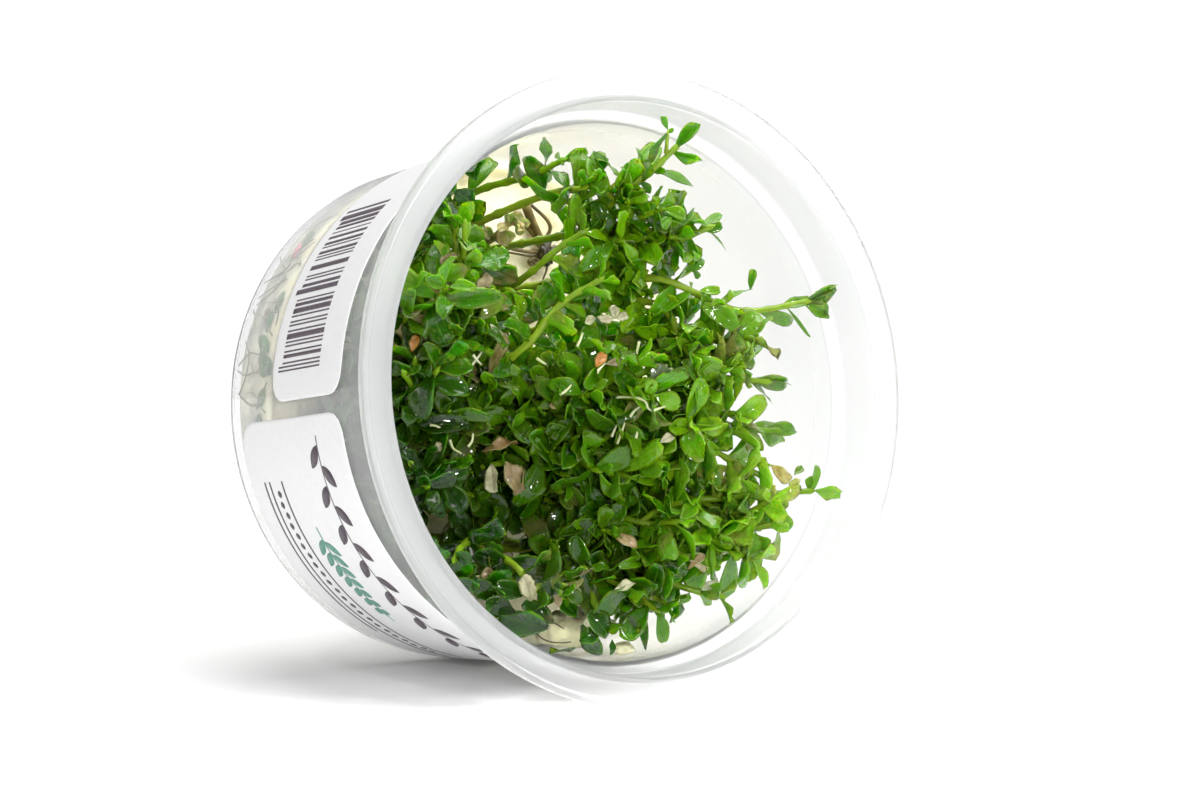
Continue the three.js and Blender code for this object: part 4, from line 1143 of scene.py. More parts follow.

# %% [markdown]
# ### Leaves placed one by one
# The shoots at the open right side stand free against the white wall, where every leaf counts. Those
# leaves are set one by one, each by its base, its tip, its width, its roll about its own rib and its
# tint; a tint past 1 is an old leaf that has lost its green. The shoot's own pairs stop short of them.

# %% Placed leaves
PLACED_LEAVES = {
    # by shoot: base (x, y, depth), tip (x, y, depth), width, roll in degrees, tint
    "top_right": [
        ((12.1, 38.0, 5.0), (14.2, 42.1, 1.2), 2.1, 25, 0.30),
        ((11.4, 37.9, 5.3), (16.5, 35.8, 3.8), 2.1, -35, 0.40),
        ((8.8, 35.1, 7.0), (17.4, 33.7, 7.5), 2.1, 50, 0.45),
        ((10.8, 40.8, 4.5), (6.9, 36.3, 5.0), 1.6, -40, 0.20),
        ((10.7, 41.2, 4.5), (9.2, 43.6, 4.0), 1.0, 20, 0.50),
        ((10.7, 40.6, 4.8), (11.7, 41.3, 4.3), 0.7, 10, 0.50),
        ((7.5, 32.9, 8.3), (9.2, 31.6, 7.8), 1.4, 30, 0.10),
        ((9.5, 30.0, 7.9), (10.5, 32.6, 7.4), 1.0, 40, 0.70),
        ((6.8, 34.0, 8.3), (4.1, 35.7, 7.5), 1.9, 20, 0.20),
        ((7.0, 32.2, 8.6), (7.9, 27.4, 7.8), 2.2, -20, 0.60),
    ],
    "upper_right": [
        ((17.5, 24.5, 7.8), (21.7, 27.8, 6.8), 1.8, 30, 0.90),
        ((18.6, 23.9, 7.5), (21.5, 25.6, 6.7), 1.7, -10, 0.20),
        ((18.9, 24.0, 7.2), (23.3, 22.8, 7.2), 0.9, 55, 0.50),
        ((16.6, 23.3, 8.4), (17.8, 21.1, 8.8), 1.5, -20, 0.40),
        ((16.3, 23.8, 8.4), (19.4, 25.7, 7.6), 1.4, 40, 0.50),
        ((13.5, 24.4, 9.7), (16.7, 28.5, 8.7), 2.1, 15, 0.50),
        ((10.5, 28.5, 10.1), (15.7, 30.3, 10.3), 1.6, 35, 0.50),
        ((14.5, 23.7, 9.2), (13.3, 19.9, 9.6), 1.9, -30, 0.10),
        ((11.3, 22.0, 11.5), (15.4, 18.7, 12.1), 2.8, 20, 0.30),
        ((15.8, 18.7, 9.9), (19.8, 21.0, 9.5), 2.0, -25, 0.30),
        ((16.8, 19.0, 9.2), (18.1, 17.6, 9.2), 1.1, 20, 0.00),
    ],
    "long_right": [
        ((20.5, 14.6, 6.7), (25.7, 16.2, 5.9), 1.9, 35, 0.60),
        ((25.4, 15.3, 5.7), (26.0, 18.6, 5.2), 1.4, 35, 0.30),
        ((15.6, 15.2, 7.5), (20.1, 15.6, 6.5), 1.7, 30, 0.80),
        ((20.5, 13.3, 6.6), (25.8, 8.0, 7.2), 2.0, -35, 0.10),
        ((25.5, 12.2, 5.4), (25.3, 8.6, 6.2), 1.7, 20, 0.20),
        ((26.4, 11.7, 5.2), (34.5, 9.6, 5.8), 2.2, -30, 0.80),
        ((31.1, 10.9, 4.3), (37.0, 7.3, 5.1), 0.6, 0, 0.60),
        ((30.0, 12.2, 4.5), (35.7, 13.5, 3.6), 2.1, 15, 0.50),
        ((34.3, 12.6, 3.8), (41.5, 14.8, 3.2), 2.5, -15, 0.10),
        ((34.6, 12.0, 3.8), (39.2, 10.6, 3.0), 2.6, 5, 0.55),
        ((38.1, 11.4, 3.5), (39.2, 9.9, 3.5), 0.8, 20, 0.40),
        ((36.0, 13.6, 3.5), (39.1, 14.9, 3.9), 1.3, 30, 0.20),
        ((36.6, 13.8, 3.5), (40.0, 15.3, 2.7), 1.2, 50, 0.15),
        ((12.3, 16.0, 8.7), (7.5, 11.3, 8.1), 2.8, 20, 0.40),
        ((15.0, 15.1, 7.7), (9.2, 13.1, 6.9), 2.3, -30, 0.50),
    ],
    "right_bowed": [
        ((20.4, 4.6, 6.1), (27.0, 6.2, 5.3), 2.8, 15, 0.35),
        ((18.5, 4.6, 6.5), (20.9, 4.7, 6.5), 0.4, 0, 0.50),
        ((20.7, 0.8, 5.9), (20.8, 3.1, 5.3), 1.2, 20, 0.40),
        ((21.4, 0.7, 5.8), (23.9, 1.8, 5.0), 2.0, 10, 0.95),
        ((23.9, 1.3, 5.5), (32.0, 1.4, 5.1), 1.7, 60, 0.50),
        ((24.4, -0.5, 5.4), (31.8, -0.1, 5.6), 2.8, -20, 0.15),
        ((23.7, -1.4, 5.5), (29.2, -2.8, 6.3), 1.7, 40, 0.40),
        ((16.6, 2.1, 6.6), (20.2, -0.9, 7.2), 2.8, 20, 0.30),
    ],
    "middle_right": [
        ((22.0, -5.7, 6.7), (25.8, -3.5, 6.7), 2.8, -20, 0.35),
        ((22.7, -7.6, 6.2), (30.2, -5.7, 5.6), 2.0, 40, 0.60),
        ((25.6, -7.5, 5.5), (32.5, -8.1, 5.1), 2.4, 10, 0.30),
        ((24.8, -9.2, 5.6), (30.6, -10.3, 6.0), 2.4, -25, 0.35),
        ((21.5, -7.7, 6.5), (26.6, -11.1, 6.9), 2.9, 20, 0.05),
    ],
    "dark_stem": [
        ((23.2, -12.0, 6.6), (24.6, -18.2, 7.0), 2.3, 30, 0.50),
        ((18.4, -5.1, 7.6), (14.8, -2.1, 7.0), 2.3, 20, 0.10),
    ],
    "low_right": [
        ((26.9, -13.4, 5.5), (30.1, -16.3, 4.7), 2.3, 15, 1.50),
        ((30.3, -18.4, 4.6), (30.7, -15.8, 4.0), 1.8, 10, 1.20),
        ((32.7, -18.6, 3.8), (33.2, -15.6, 3.4), 1.5, 20, 0.20),
        ((33.4, -17.2, 3.7), (34.9, -13.7, 3.7), 1.7, -20, 0.40),
        ((34.0, -17.2, 3.5), (38.7, -19.0, 2.7), 2.6, -10, 0.90),
        ((30.6, -15.2, 4.4), (32.5, -13.8, 4.8), 1.2, 20, 0.30),
        ((24.8, -18.4, 6.0), (28.9, -20.6, 5.4), 2.8, 20, 0.30),
        ((24.6, -19.2, 6.0), (28.4, -24.5, 6.8), 2.8, -20, 0.30),
        ((27.2, -20.6, 5.4), (25.9, -16.7, 4.6), 1.5, 20, 1.30),
        ((27.4, -21.0, 5.4), (30.1, -24.1, 5.8), 2.0, 20, 0.40),
        ((16.4, -12.7, 7.4), (20.4, -14.1, 7.0), 1.2, 20, 0.90),
        ((17.3, -14.1, 7.1), (20.2, -16.9, 6.9), 1.5, -30, 0.60),
        ((15.6, -15.3, 8.0), (16.4, -12.6, 7.4), 2.0, 10, 1.10),
    ],
    "lower_drop": [
        ((19.1, -18.8, 9.0), (21.4, -26.7, 8.6), 2.9, 20, 0.50),
        ((21.2, -19.4, 7.7), (25.2, -24.2, 7.1), 2.9, -20, 0.50),
        ((22.0, -23.0, 6.6), (20.4, -27.7, 6.4), 2.3, 25, 0.45),
    ],
    "heart": [
        ((-1.8, 4.4, 16.0), (3.6, 8.2, 15.5), 4.0, 10, 0.20),
        ((-3.0, 15.0, 15.0), (1.5, 19.0, 14.5), 3.8, 15, 0.20),
        ((-11.0, 13.5, 14.5), (-6.2, 17.8, 14.0), 4.0, -15, 0.25),
        ((-3.0, 7.4, 15.0), (1.6, 10.6, 14.0), 3.6, -20, 0.30),
        ((6.2, 3.8, 16.0), (11.2, 8.4, 15.5), 4.0, 20, 0.15),
        ((5.0, 8.6, 15.0), (10.4, 6.6, 14.4), 3.6, -10, 0.25),
    ],
    "bottom_left": [
        ((-16.4, -36.0, 7.5), (-24.6, -33.9, 6.0), 4.3, 15, 0.40),
        ((-14.8, -35.4, 8.5), (-19.9, -32.2, 7.5), 3.2, -20, 0.35),
        ((-17.5, -34.0, 9.5), (-22.5, -36.0, 9.0), 3.6, 25, 0.10),
        ((-19.8, -30.9, 9.0), (-24.2, -28.7, 8.0), 3.0, -20, 0.55),
        ((-22.3, -31.3, 10.0), (-25.8, -29.5, 9.0), 3.0, 30, 0.50),
        ((-13.0, -32.1, 9.0), (-16.1, -29.5, 8.0), 3.5, 20, 0.30),
        ((-21.9, -33.2, 8.0), (-26.9, -31.5, 7.5), 3.2, -15, 0.20),
        ((-23.5, -30.9, 9.5), (-28.2, -28.4, 9.0), 3.0, 20, 0.45),
    ],
    "bottom": [
        ((-9.4, -34.3, 7.0), (-6.0, -37.8, 5.5), 4.0, 20, 0.45),
        ((-10.2, -36.2, 7.5), (-8.0, -41.4, 6.5), 3.0, -15, 0.40),
        ((-11.1, -38.8, 7.0), (-8.3, -37.6, 6.0), 2.6, 10, 0.80),
        ((-5.8, -38.9, 6.0), (-6.2, -41.2, 5.5), 1.2, 30, 0.60),
        ((-8.6, -35.1, 7.0), (-2.0, -31.1, 5.0), 4.0, -25, 0.70),
        ((-11.5, -39.7, 8.0), (-16.2, -40.2, 7.5), 1.6, 35, 0.15),
        ((-2.9, -34.8, 7.0), (-1.5, -38.7, 6.5), 3.4, 15, 0.20),
    ],
}
PLACED_TWIGS = [
    # shoot, points (x, y, depth), radius
    ("top_right", [(10.8, 37.5, 5.6), (10.6, 39.3, 4.9), (10.6, 41.2, 4.3)], 0.34),
    ("upper_right", [(12.3, 16.2, 11.0), (13.8, 17.5, 10.2), (15.7, 18.7, 9.6)], 0.26),
    ("upper_right", [(14.9, 18.0, 10.0), (16.0, 18.5, 9.6), (16.9, 19.0, 9.3)], 0.20),
    ("low_right", [(23.9, -12.8, 6.4), (25.3, -13.0, 5.9), (27.1, -13.5, 5.4)], 0.30),
    ("low_right", [(16.5, -17.5, 7.4), (16.1, -15.0, 7.0), (16.2, -12.8, 7.0)], 0.36),
    ("low_right", [(16.1, -15.0, 7.0), (16.6, -14.3, 6.9), (17.2, -14.1, 6.9)], 0.26),
    ("lower_drop", [(17.6, -17.4, 7.6), (18.0, -18.2, 7.8), (18.9, -18.9, 8.6)], 0.34),
    ("lower_drop", [(20.6, -17.9, 7.2), (20.9, -18.8, 7.3), (21.2, -19.7, 7.5)], 0.34),
    ("lower_drop", [(21.2, -19.7, 7.5), (21.4, -21.4, 7.0), (22.0, -23.1, 6.5)], 0.34),
    ("right_bowed", [(16.2, 3.7, 6.9), (17.4, 4.3, 6.6), (18.6, 4.6, 6.4)], 0.22),
]
# How much of a stem's end carries listed leaves alone, in mm.
BARE_TIP = {"top_right": 10.0, "upper_right": 8.0, "long_right": 25.0, "right_bowed": 11.0,
            "middle_right": 9.0, "dark_stem": 7.0, "low_right": 15.0, "lower_drop": 5.0}
TO_THE_LIGHT = np.array([-0.52, 0.06, -0.85])
REACH_FOR_STEM = 2.4  # a base that is nearer to the stem than this grows out of it


def lit_face(along, roll):
    """The way a blade faces: square to its rib and as near to the light as that allows, then rolled."""
    face = unit(TO_THE_LIGHT - along * (along @ TO_THE_LIGHT)[:, None])
    return turned_about(face, along, np.radians(roll))


def placed_leaves(name, spine, seed):
    """The listed leaves of one shoot: the rib runs from base to tip, the face to the light, then rolls."""
    rows = PLACED_LEAVES[name]
    base, tip = (np.array([row[k] for row in rows]) for k in (0, 1))
    apart = np.linalg.norm(base[:, None] - spine[None], axis=-1)
    base = np.where(apart.min(axis=1)[:, None] < REACH_FOR_STEM, spine[apart.argmin(axis=1)], base)
    width, roll, tint = (np.array([row[k] for row in rows], dtype=float) for k in (2, 3, 4))
    along = unit(tip - base)
    draw = lambda n: chance(seed, np.arange(len(rows)), n)
    return {"at": base, "along": along, "face": lit_face(along, roll),
            "length": np.linalg.norm(tip - base, axis=1) * 1.04, "half_width": 0.5 * width * 1.12,
            "curl": 0.05 + 0.2 * draw(41), "fold": 0.2 + 0.6 * draw(42), "wave": 0.15 + 0.4 * draw(43),
            "phase": 6.28 * draw(44), "twist": 1.4 * (draw(45) - 0.5), "age": np.full(len(rows), 1.5),
            "tint": np.minimum(tint, 1.0), "faded": np.clip(tint - 0.6, 0, 0.9) * (tint > 1)}


print("placed leaves:", sum(map(len, PLACED_LEAVES.values())))

# %% [markdown]
# ### Where the bush is bright, bare or thin
# Light and shade in the bush are painted into the leaves' colour: a smooth map across the mouth gives
# each leaf a brightness gain, high where it stands out of the bush, low in its shade. A few straight
# gaps keep open the views on the jelly and on one pale stem, and one shoot is an old withered one.

# %% Painted light, gaps and old age
def faded_at_random(count, rng, share):
    """How far each leaf has lost its green: nothing, or 0.6 to 1 for a share of them."""
    return (rng.random(count) < share) * rng.uniform(0.6, 1.0, count)


# Painted light: per mm to the right and upwards, how much lighter the leaves' tint and youth are painted.
PAINTED_LIGHT_SLOPE = np.array([0.0105, 0.0080])
OLIVE_FROM, OLIVE_OVER, OLIVE_SHARE = 12.0, 14.0, 0.10
# Painted light and shade: round hills and hollows on the leaves' brightness map.
LIGHT_AND_SHADE_HILLS = [
    # middle (x, y), reach, height
    (21, -20, 7, 0.3), (-19, -35, 7, 0.8), (0, -35, 10, 0.1), (-31, 24, 7, 0.8),
    (-9, 41, 9, -0.8), (35, 2, 10, -0.6), (22, 30, 9, -0.3), (-3, -6, 6, -0.4),
]
WITHERED = ("inner_16",)
PALE_STEMS = ("bright", "right_bowed", "dark_stem", "long_right")
GAPS = [
    # from (x, y, depth) on the jelly to (x, y, depth) at the mouth, and the radius kept free, in mm
    ((6.4, 33.9, 48.5), (-20.1, 28.9, 5.0), 5.6),
    ((8.8, 29.2, 48.5), (-18.0, 24.7, 5.0), 6.0),
    ((11.0, 24.5, 48.5), (-16.0, 20.5, 5.0), 5.2),
    ((-11.5, -18.9, 48.5), (-36.2, -18.7, 5.0), 3.6),
    ((3.4, -23.1, 48.5), (-22.8, -22.5, 5.0), 3.0),
    ((-3.2, -36.8, 17.5), (-12.5, -35.6, 3.0), 4.2),
    ((-14.2, 9.0, 10.0), (-19.2, 8.5, 2.0), 1.25),
    ((-12.4, 11.2, 9.0), (-16.8, 10.8, 2.0), 1.25),
    ((-10.4, 13.5, 8.2), (-14.3, 13.0, 2.0), 1.25),
    ((-8.1, 15.1, 7.4), (-11.6, 14.6, 2.0), 1.25),
    ((-5.5, 16.7, 6.6), (-8.5, 16.3, 2.0), 1.25),
]


def clear_of_gaps(centres, margin=0.0):
    """True for places that are further from each straight gap in the bush than its radius and a margin."""
    keep = np.ones(len(centres), dtype=bool)
    for start, end, radius in GAPS:
        start, way = np.array(start), unit(np.array(end) - np.array(start))
        rest = centres - start
        rest = rest - (rest @ way)[:, None] * way
        keep &= np.linalg.norm(rest, axis=1) > radius + margin
    return keep


def painted_light_gain_at(x, y):
    """Painted light and shade on the leaves: exp of a broad hill, its top a little right of the middle.

    It falls away to every side, and most to the lower left, where the wall keeps the light off. Small
    round hills and hollows on it are the parts that stand out of their neighbours' shade, or in it.
    """
    height = 0.48 + 0.014 * x + 0.005 * y - 0.0007 * (x * x + x * y) - 0.0005 * y * y
    for centre_x, centre_y, reach, gain in LIGHT_AND_SHADE_HILLS:
        height = height + gain * np.exp(-((x - centre_x) ** 2 + (y - centre_y) ** 2) / (2 * reach * reach))
    return np.clip(np.exp(height), 0.2, 2.4)


def nearest_run(places, spine, run):
    """How far along a spine each place is, by its nearest sample."""
    return run[np.linalg.norm(places[:, None] - spine[None], axis=-1).argmin(axis=1)]


def without(leaves, spine, run, bare_from):
    """The leaves of a set that sit on the stem below the part with listed leaves."""
    keep = nearest_run(leaves["at"], spine, run) < bare_from
    return {key: value[keep] for key, value in leaves.items()}


print("gaps kept open:", len(GAPS))

# %% [markdown]
# ### One shoot as one piece
# A shoot's leaves come in sets: the pairs of the CAD model, the older pairs below, the listed ones
# and those of the side sprigs. All become one mesh with two materials, and every corner holds its
# leaf's own youth and tint, both tilted by painted light, its fading, wear and side, and a gain of
# painted light and shade, which the finish reads.

# %% Shoots
LEAF_POINTS = len(SHARES) * RING
leaf_uv = np.stack(np.broadcast_arrays(0.5 + 0.5 * ACROSS[None, :], SHARES[:, None]), axis=-1).reshape(-1, 2)
EXTRA_SPRIGS = 5
SPRIG_PAIRS_BELOW_TIP, SPRIG_PAIR_AGES = np.array([7.0, 4.6, 2.4, 0.8]), np.array([3.0, 2.2, 1.4, 0.3])
LEAF_VALUES = ("youth", "tint", "faded", "worn", "under", "painted_light_gain")


def sets_and_stems(shoot, spine, seed, rng):
    """The sets of leaves of one shoot, each with the share of old leaves in it, and its stem and twigs."""
    name, pairs, sprigs = shoot[0], shoot[5], shoot[6]
    run = run_of(spine)
    bare_from = run[-1] - BARE_TIP.get(name, 0.0)
    young, old = stem_pairs(spine, pairs, seed)
    withered = name in WITHERED
    sets = [(leaves_on(young, seed, 0.35 if withered else 1.0), 0.0)]
    if old is not None:
        sets.append((leaves_on(old, seed + 500, 0.4 if withered else 1.05, 0.7), 0.03))
    if name in BARE_TIP:
        sets = [(without(leaves, spine, run, bare_from), share) for leaves, share in sets]
    if name in PLACED_LEAVES:
        sets.append((placed_leaves(name, spine, seed), 0.0))
    joints = pair_alongs(run[-1], np.arange(pairs + OLDER_PAIRS))
    stems = [stem_places(spine, joints[joints > 3], 0.78, 0.45)]
    for shoot_name, points, radius in PLACED_TWIGS:
        if shoot_name == name:
            stems.append(stem_places(spline(np.array(points), 5), np.array([0.0]), radius, 0.8 * radius))
    for k, twig in enumerate(sprigs_of(spine, sprigs + EXTRA_SPRIGS, rng)):
        length = run_of(twig)[-1]
        if nearest_run(twig[:1], spine, run)[0] > bare_from - 2.0 and name in BARE_TIP:
            continue
        if not clear_of_gaps(twig, 2.0).all():
            continue
        alongs = length - SPRIG_PAIRS_BELOW_TIP
        ages, alongs = SPRIG_PAIR_AGES[alongs > 1.0], alongs[alongs > 1.0]
        frames = pairs_on(twig, ages, alongs, rng.uniform(0, 6.28))
        size = rng.uniform(0.85, 1.25) * (0.4 if withered else 1.0)
        sets.append((leaves_on(frames, seed + 1000 + 37 * k, size, 1.0), 0.015))
        stems.append(stem_places(twig, alongs, 0.5, 0.34))
    return sets, stems


def shoot_piece(shoot, spine, seed):
    """One shoot: leaves of its pairs and sprigs, and its stems, as one piece with two materials."""
    name, withered = shoot[0], shoot[0] in WITHERED
    rng = np.random.default_rng(seed)
    sets, stems = sets_and_stems(shoot, spine, seed, rng)
    places, uvs, leaf_count = [], [], 0
    values = {label: [] for label in LEAF_VALUES}
    for leaves, share in sets:
        grid = leaf_places(*(leaves[k] for k in ("at", "along", "face", "length", "half_width", "curl",
                                                 "fold", "wave", "phase", "twist")))
        grid = keep_inside(grid, 0.1)
        keep = clear_of_gaps(grid[:, 4].mean(axis=1)) | withered | ("faded" in leaves)
        grid = grid[keep]
        leaves = {key: value[keep] for key, value in leaves.items()}
        count = len(leaves["age"])
        leaf_count += count
        places.append(grid.reshape(-1, 3))
        uvs.append(np.tile(leaf_uv, (count, 1)))
        x, y = grid[:, 4, :, 0].mean(axis=1), grid[:, 4, :, 1].mean(axis=1)
        # Painted light: leaves up and to the right get a lighter tint and a younger, yellower green, those at
        # the lower left darker ones.
        painted_light_tilt = 0.05 + x * PAINTED_LIGHT_SLOPE[0] + y * PAINTED_LIGHT_SLOPE[1]
        olive = OLIVE_SHARE * np.clip((x - OLIVE_FROM) / OLIVE_OVER, 0, 1)
        faded = leaves.get("faded", faded_at_random(count, rng, 1.0 if withered else share))
        for label, number in (
            ("youth", np.clip(0.75 - 0.4 * leaves["age"], 0, 1) * np.clip(0.8 + 1.5 * painted_light_tilt, 0.2, 1.2)),
            ("tint", np.clip(leaves["tint"] + painted_light_tilt, 0, 1)), ("faded", np.maximum(faded, olive)),
            ("worn", np.clip(2.2 * chance(seed, leaves["phase"], 31) - 1.5, 0, 0.7)),
            ("painted_light_gain", painted_light_gain_at(x, y)),
        ):
            values[label].append(np.repeat(number, LEAF_POINTS))
        values["under"].append(np.tile((THROUGH < -0.1).astype(float), len(SHARES) * count))
    faces = [ring_stack_faces(leaf_count, len(SHARES))]
    part = [np.zeros(len(faces[0]))]
    offset = leaf_count * LEAF_POINTS
    stem_tint = 1.0 if name in PALE_STEMS else chance(seed, 3, 7)
    for grid in stems:
        one = ring_stack_faces(1, len(grid))
        faces.append(np.where(one < 0, -1, one + offset))
        part.append(np.ones(len(one)))
        count = grid.shape[0] * RING
        places.append(grid.reshape(-1, 3))
        uvs.append(np.zeros((count, 2)))
        for label, number in (("youth", np.linspace(0.1, 0.6, count)), ("tint", np.full(count, stem_tint)),
                              ("faded", np.full(count, 0.85 * withered)), ("worn", np.zeros(count)),
                              ("under", np.zeros(count)), ("painted_light_gain", np.zeros(count))):
            values[label].append(number)
        offset += count
    make_piece("leaves_" + name, to_frame(np.concatenate(places)), np.concatenate(faces),
               [leaf_green, stem_green], ["shoot_" + name], np.concatenate(uvs),
               {label: np.concatenate(numbers) for label, numbers in values.items()}, np.concatenate(part))
    return leaf_count


total = sum(shoot_piece(shoot, spines[k], k + 1) for k, shoot in enumerate(SHOOTS))
print("leaves:", total)

# %% [markdown]
# ## Roots
# Rotala roots in two ways. Brown ones spread over the jelly from the foot of each stem and dive into
# it, and some run down between the jelly and the wall. Short pale ones grow in the air from the
# joints. Each root is a thin tapering tube that wanders a little along a smooth curve through its points.

# %% Root tubes
brown_root = clouded_material("brown_root", (0.030, 0.018, 0.006), (0.16, 0.115, 0.028), 0.35)
moss_root = clouded_material("stained_root", (0.035, 0.05, 0.008), (0.13, 0.125, 0.03), 0.4)
pale_root = clouded_material("pale_root", (0.46, 0.52, 0.20), (0.84, 0.85, 0.55), 0.3)
stub_brown = clouded_material("old_stub", (0.12, 0.085, 0.02), (0.40, 0.31, 0.085), 0.3)
dark_knot = clouded_material("dark_knot", (0.012, 0.010, 0.003), (0.045, 0.034, 0.012), 0.35)


def tubes_piece(name, routes, material):
    """Many tapering tubes as one piece; a route is its points (x, y, depth), first and last radius."""
    places, faces, offset = [], [], 0
    for points, thick, thin in routes:
        spine = np.array(points, dtype=float)
        spine = spline(spine, 5) if len(points) > 2 else spine
        grid = tube_places(spine, np.linspace(thick, thin, len(spine)), 5)
        one_places, one_faces = closed_grid(grid)
        places.append(one_places)
        faces.append(np.where(one_faces < 0, -1, one_faces + offset))
        offset += len(one_places)
    return make_piece(name, to_frame(np.concatenate(places)), np.concatenate(faces), [material])


def roots_over_jelly(foot, count, rng):
    """Roots from a stem's foot: steps outwards over the jelly's surface, the last one into it."""
    routes = []
    for k in range(count):
        heading = 2 * math.pi * (k + rng.uniform(0, 0.6)) / count
        length = rng.uniform(3.0, 8.0)
        bend = rng.uniform(-0.8, 0.8)
        points = []
        for share in (0.0, 0.3, 0.65, 1.0):
            turn = heading + bend * share
            x = foot[0] + length * share * math.cos(turn)
            y = foot[1] + length * share * math.sin(turn)
            above = 0.5 * (1 - share) + 0.12 - (0.9 if share == 1.0 else 0.0)
            points.append((x, y, gel_top(x, y) - above))
        inside = keep_inside(np.array(points), 0.6)
        routes.append((inside, rng.uniform(0.16, 0.26), 0.07))
    return routes


print("root finishes ready")

# %% [markdown]
# ### The knot in the gap
# Where the bush opens on the jelly, an old stub stands in a dark knot of matted roots. The eye goes
# there first, so these routes are listed one by one, and short hairs stand out of the knot all round. Two
# fine roots also lie over the broken lump of jelly.

# %% The knot's routes
ROOT_KNOT = [
    # roots round the old stub that shows in the gap of the bush: points (x, y, depth), first and last radius
    ([(10.0, 34.2, 46.6), (12.6, 31.3, 45.8), (13.2, 30.0, 46.0), (12.2, 28.0, 46.6)], 0.30, 0.36),
    ([(12.0, 26.0, 46.8), (10.1, 26.0, 46.6), (7.1, 26.3, 46.4), (4.6, 26.9, 46.5), (2.5, 28.5, 47.2)],
     0.42, 0.24),
    ([(12.0, 25.6, 46.9), (10.1, 25.3, 46.8), (6.7, 25.7, 46.5), (4.2, 26.2, 46.5), (2.0, 27.1, 47.0)],
     0.26, 0.16),
    ([(4.6, 26.9, 46.5), (5.2, 28.3, 46.4), (4.7, 29.8, 46.6)], 0.45, 0.30),
    ([(2.5, 28.5, 47.2), (0.9, 29.9, 46.8), (0.2, 32.0, 47.2)], 0.30, 0.14),
    ([(11.9, 25.3, 46.9), (10.8, 23.6, 46.6), (9.6, 22.4, 47.2)], 0.32, 0.14),
    ([(12.2, 25.2, 46.9), (12.3, 23.3, 46.6), (11.7, 21.3, 47.2)], 0.32, 0.14),
    ([(12.4, 26.0, 46.9), (14.9, 26.7, 46.5), (16.5, 28.1, 47.2)], 0.32, 0.14),
    ([(12.6, 26.4, 46.9), (13.9, 28.3, 46.4), (15.9, 29.4, 47.2)], 0.26, 0.12),
    ([(10.6, 24.6, 46.9), (9.6, 24.9, 46.6), (8.9, 24.5, 46.7), (9.2, 24.0, 46.9), (10.2, 24.2, 47.2)],
     0.36, 0.36),
    ([(11.2, 26.9, 46.7), (12.9, 26.6, 46.3), (13.1, 25.0, 46.5), (11.4, 24.8, 46.4), (11.1, 26.5, 46.3)],
     0.6, 0.6),
    ([(11.0, 25.7, 46.2), (12.3, 26.9, 46.0), (13.2, 25.9, 46.3), (12.0, 24.9, 46.0)], 0.5, 0.5),
]
KNOT_CORE = [
    # the dark matted heart of the knot, the same way
    ([(11.0, 26.6, 46.3), (12.8, 25.6, 45.9), (12.8, 24.0, 46.4)], 0.80, 0.55),
    ([(12.7, 27.4, 46.2), (11.5, 25.6, 45.9), (12.3, 23.6, 46.2)], 0.65, 0.50),
    ([(14.2, 26.6, 46.2), (12.8, 25.9, 45.8), (11.0, 24.8, 46.2)], 0.60, 0.50),
    ([(13.4, 24.6, 46.3), (12.0, 26.2, 45.8), (11.9, 27.8, 46.3)], 0.60, 0.45),
]
OLD_STUB = [
    # the stub itself, the same way
    ([(8.6, 34.3, 46.2), (9.1, 32.9, 46.2), (10.2, 30.4, 46.4), (11.5, 27.8, 46.6), (12.3, 25.8, 47.0)],
     0.85, 0.75),
    ([(7.0, 33.2, 47.2), (8.4, 31.2, 46.8), (10.2, 29.0, 46.8), (11.6, 27.2, 47.0)], 0.40, 0.45),
]
LUMP_HAIRS = [
    # roots that lie on the lump of jelly: points (x, y), first and last radius
    ([(-10.7, -36.8), (-10.3, -37.9), (-9.6, -38.9), (-8.1, -39.2), (-6.6, -39.2)], 0.13, 0.09),
    ([(-9.7, -35.4), (-8.8, -36.3), (-7.9, -37.0)], 0.12, 0.08),
]
print("routes in the knot:", len(ROOT_KNOT) + len(KNOT_CORE))

# %% Roots on the jelly
rng = np.random.default_rng(77)
routes = [route for spine in spines for route in roots_over_jelly(spine[0], 5, rng)]
KNOT_MIDDLE, HAIRS_ROUND_KNOT, HAIR_REACH = np.array([12.0, 25.9, 46.6]), 46, 1.9
hairs = []
for _ in range(HAIRS_ROUND_KNOT):
    reach = rng.normal(size=3) * (1.0, 1.0, 0.5)
    end = HAIR_REACH * reach / np.linalg.norm(reach) * rng.uniform(0.6, 1.4)
    hairs.append(([KNOT_MIDDLE + end * (0.3, 0.3, 0.0), KNOT_MIDDLE + end], 0.14, 0.05))
tubes_piece("roots_over_jelly", routes + ROOT_KNOT + hairs, brown_root)


def laid_on(points, skin, near=0.9, lift=0.05):
    """Points (x, y) laid on a skin: each takes the least depth of the corners near it, less a lift."""
    points = np.array(points)
    beside = np.linalg.norm(points[:, None] - skin[None, :, :2], axis=-1) < near
    depth = np.where(beside, skin[None, :, 2], CUP_DEPTH).min(axis=1) - lift
    return np.column_stack([points, depth])


tubes_piece("roots_over_lump", [(laid_on(points, lump_skins["lump_lower"]), thick, thin)
                                for points, thick, thin in LUMP_HAIRS], brown_root)
tubes_piece("knot_core", KNOT_CORE, dark_knot)
tubes_piece("old_stub", OLD_STUB, stub_brown)
print("roots over the jelly:", len(routes))

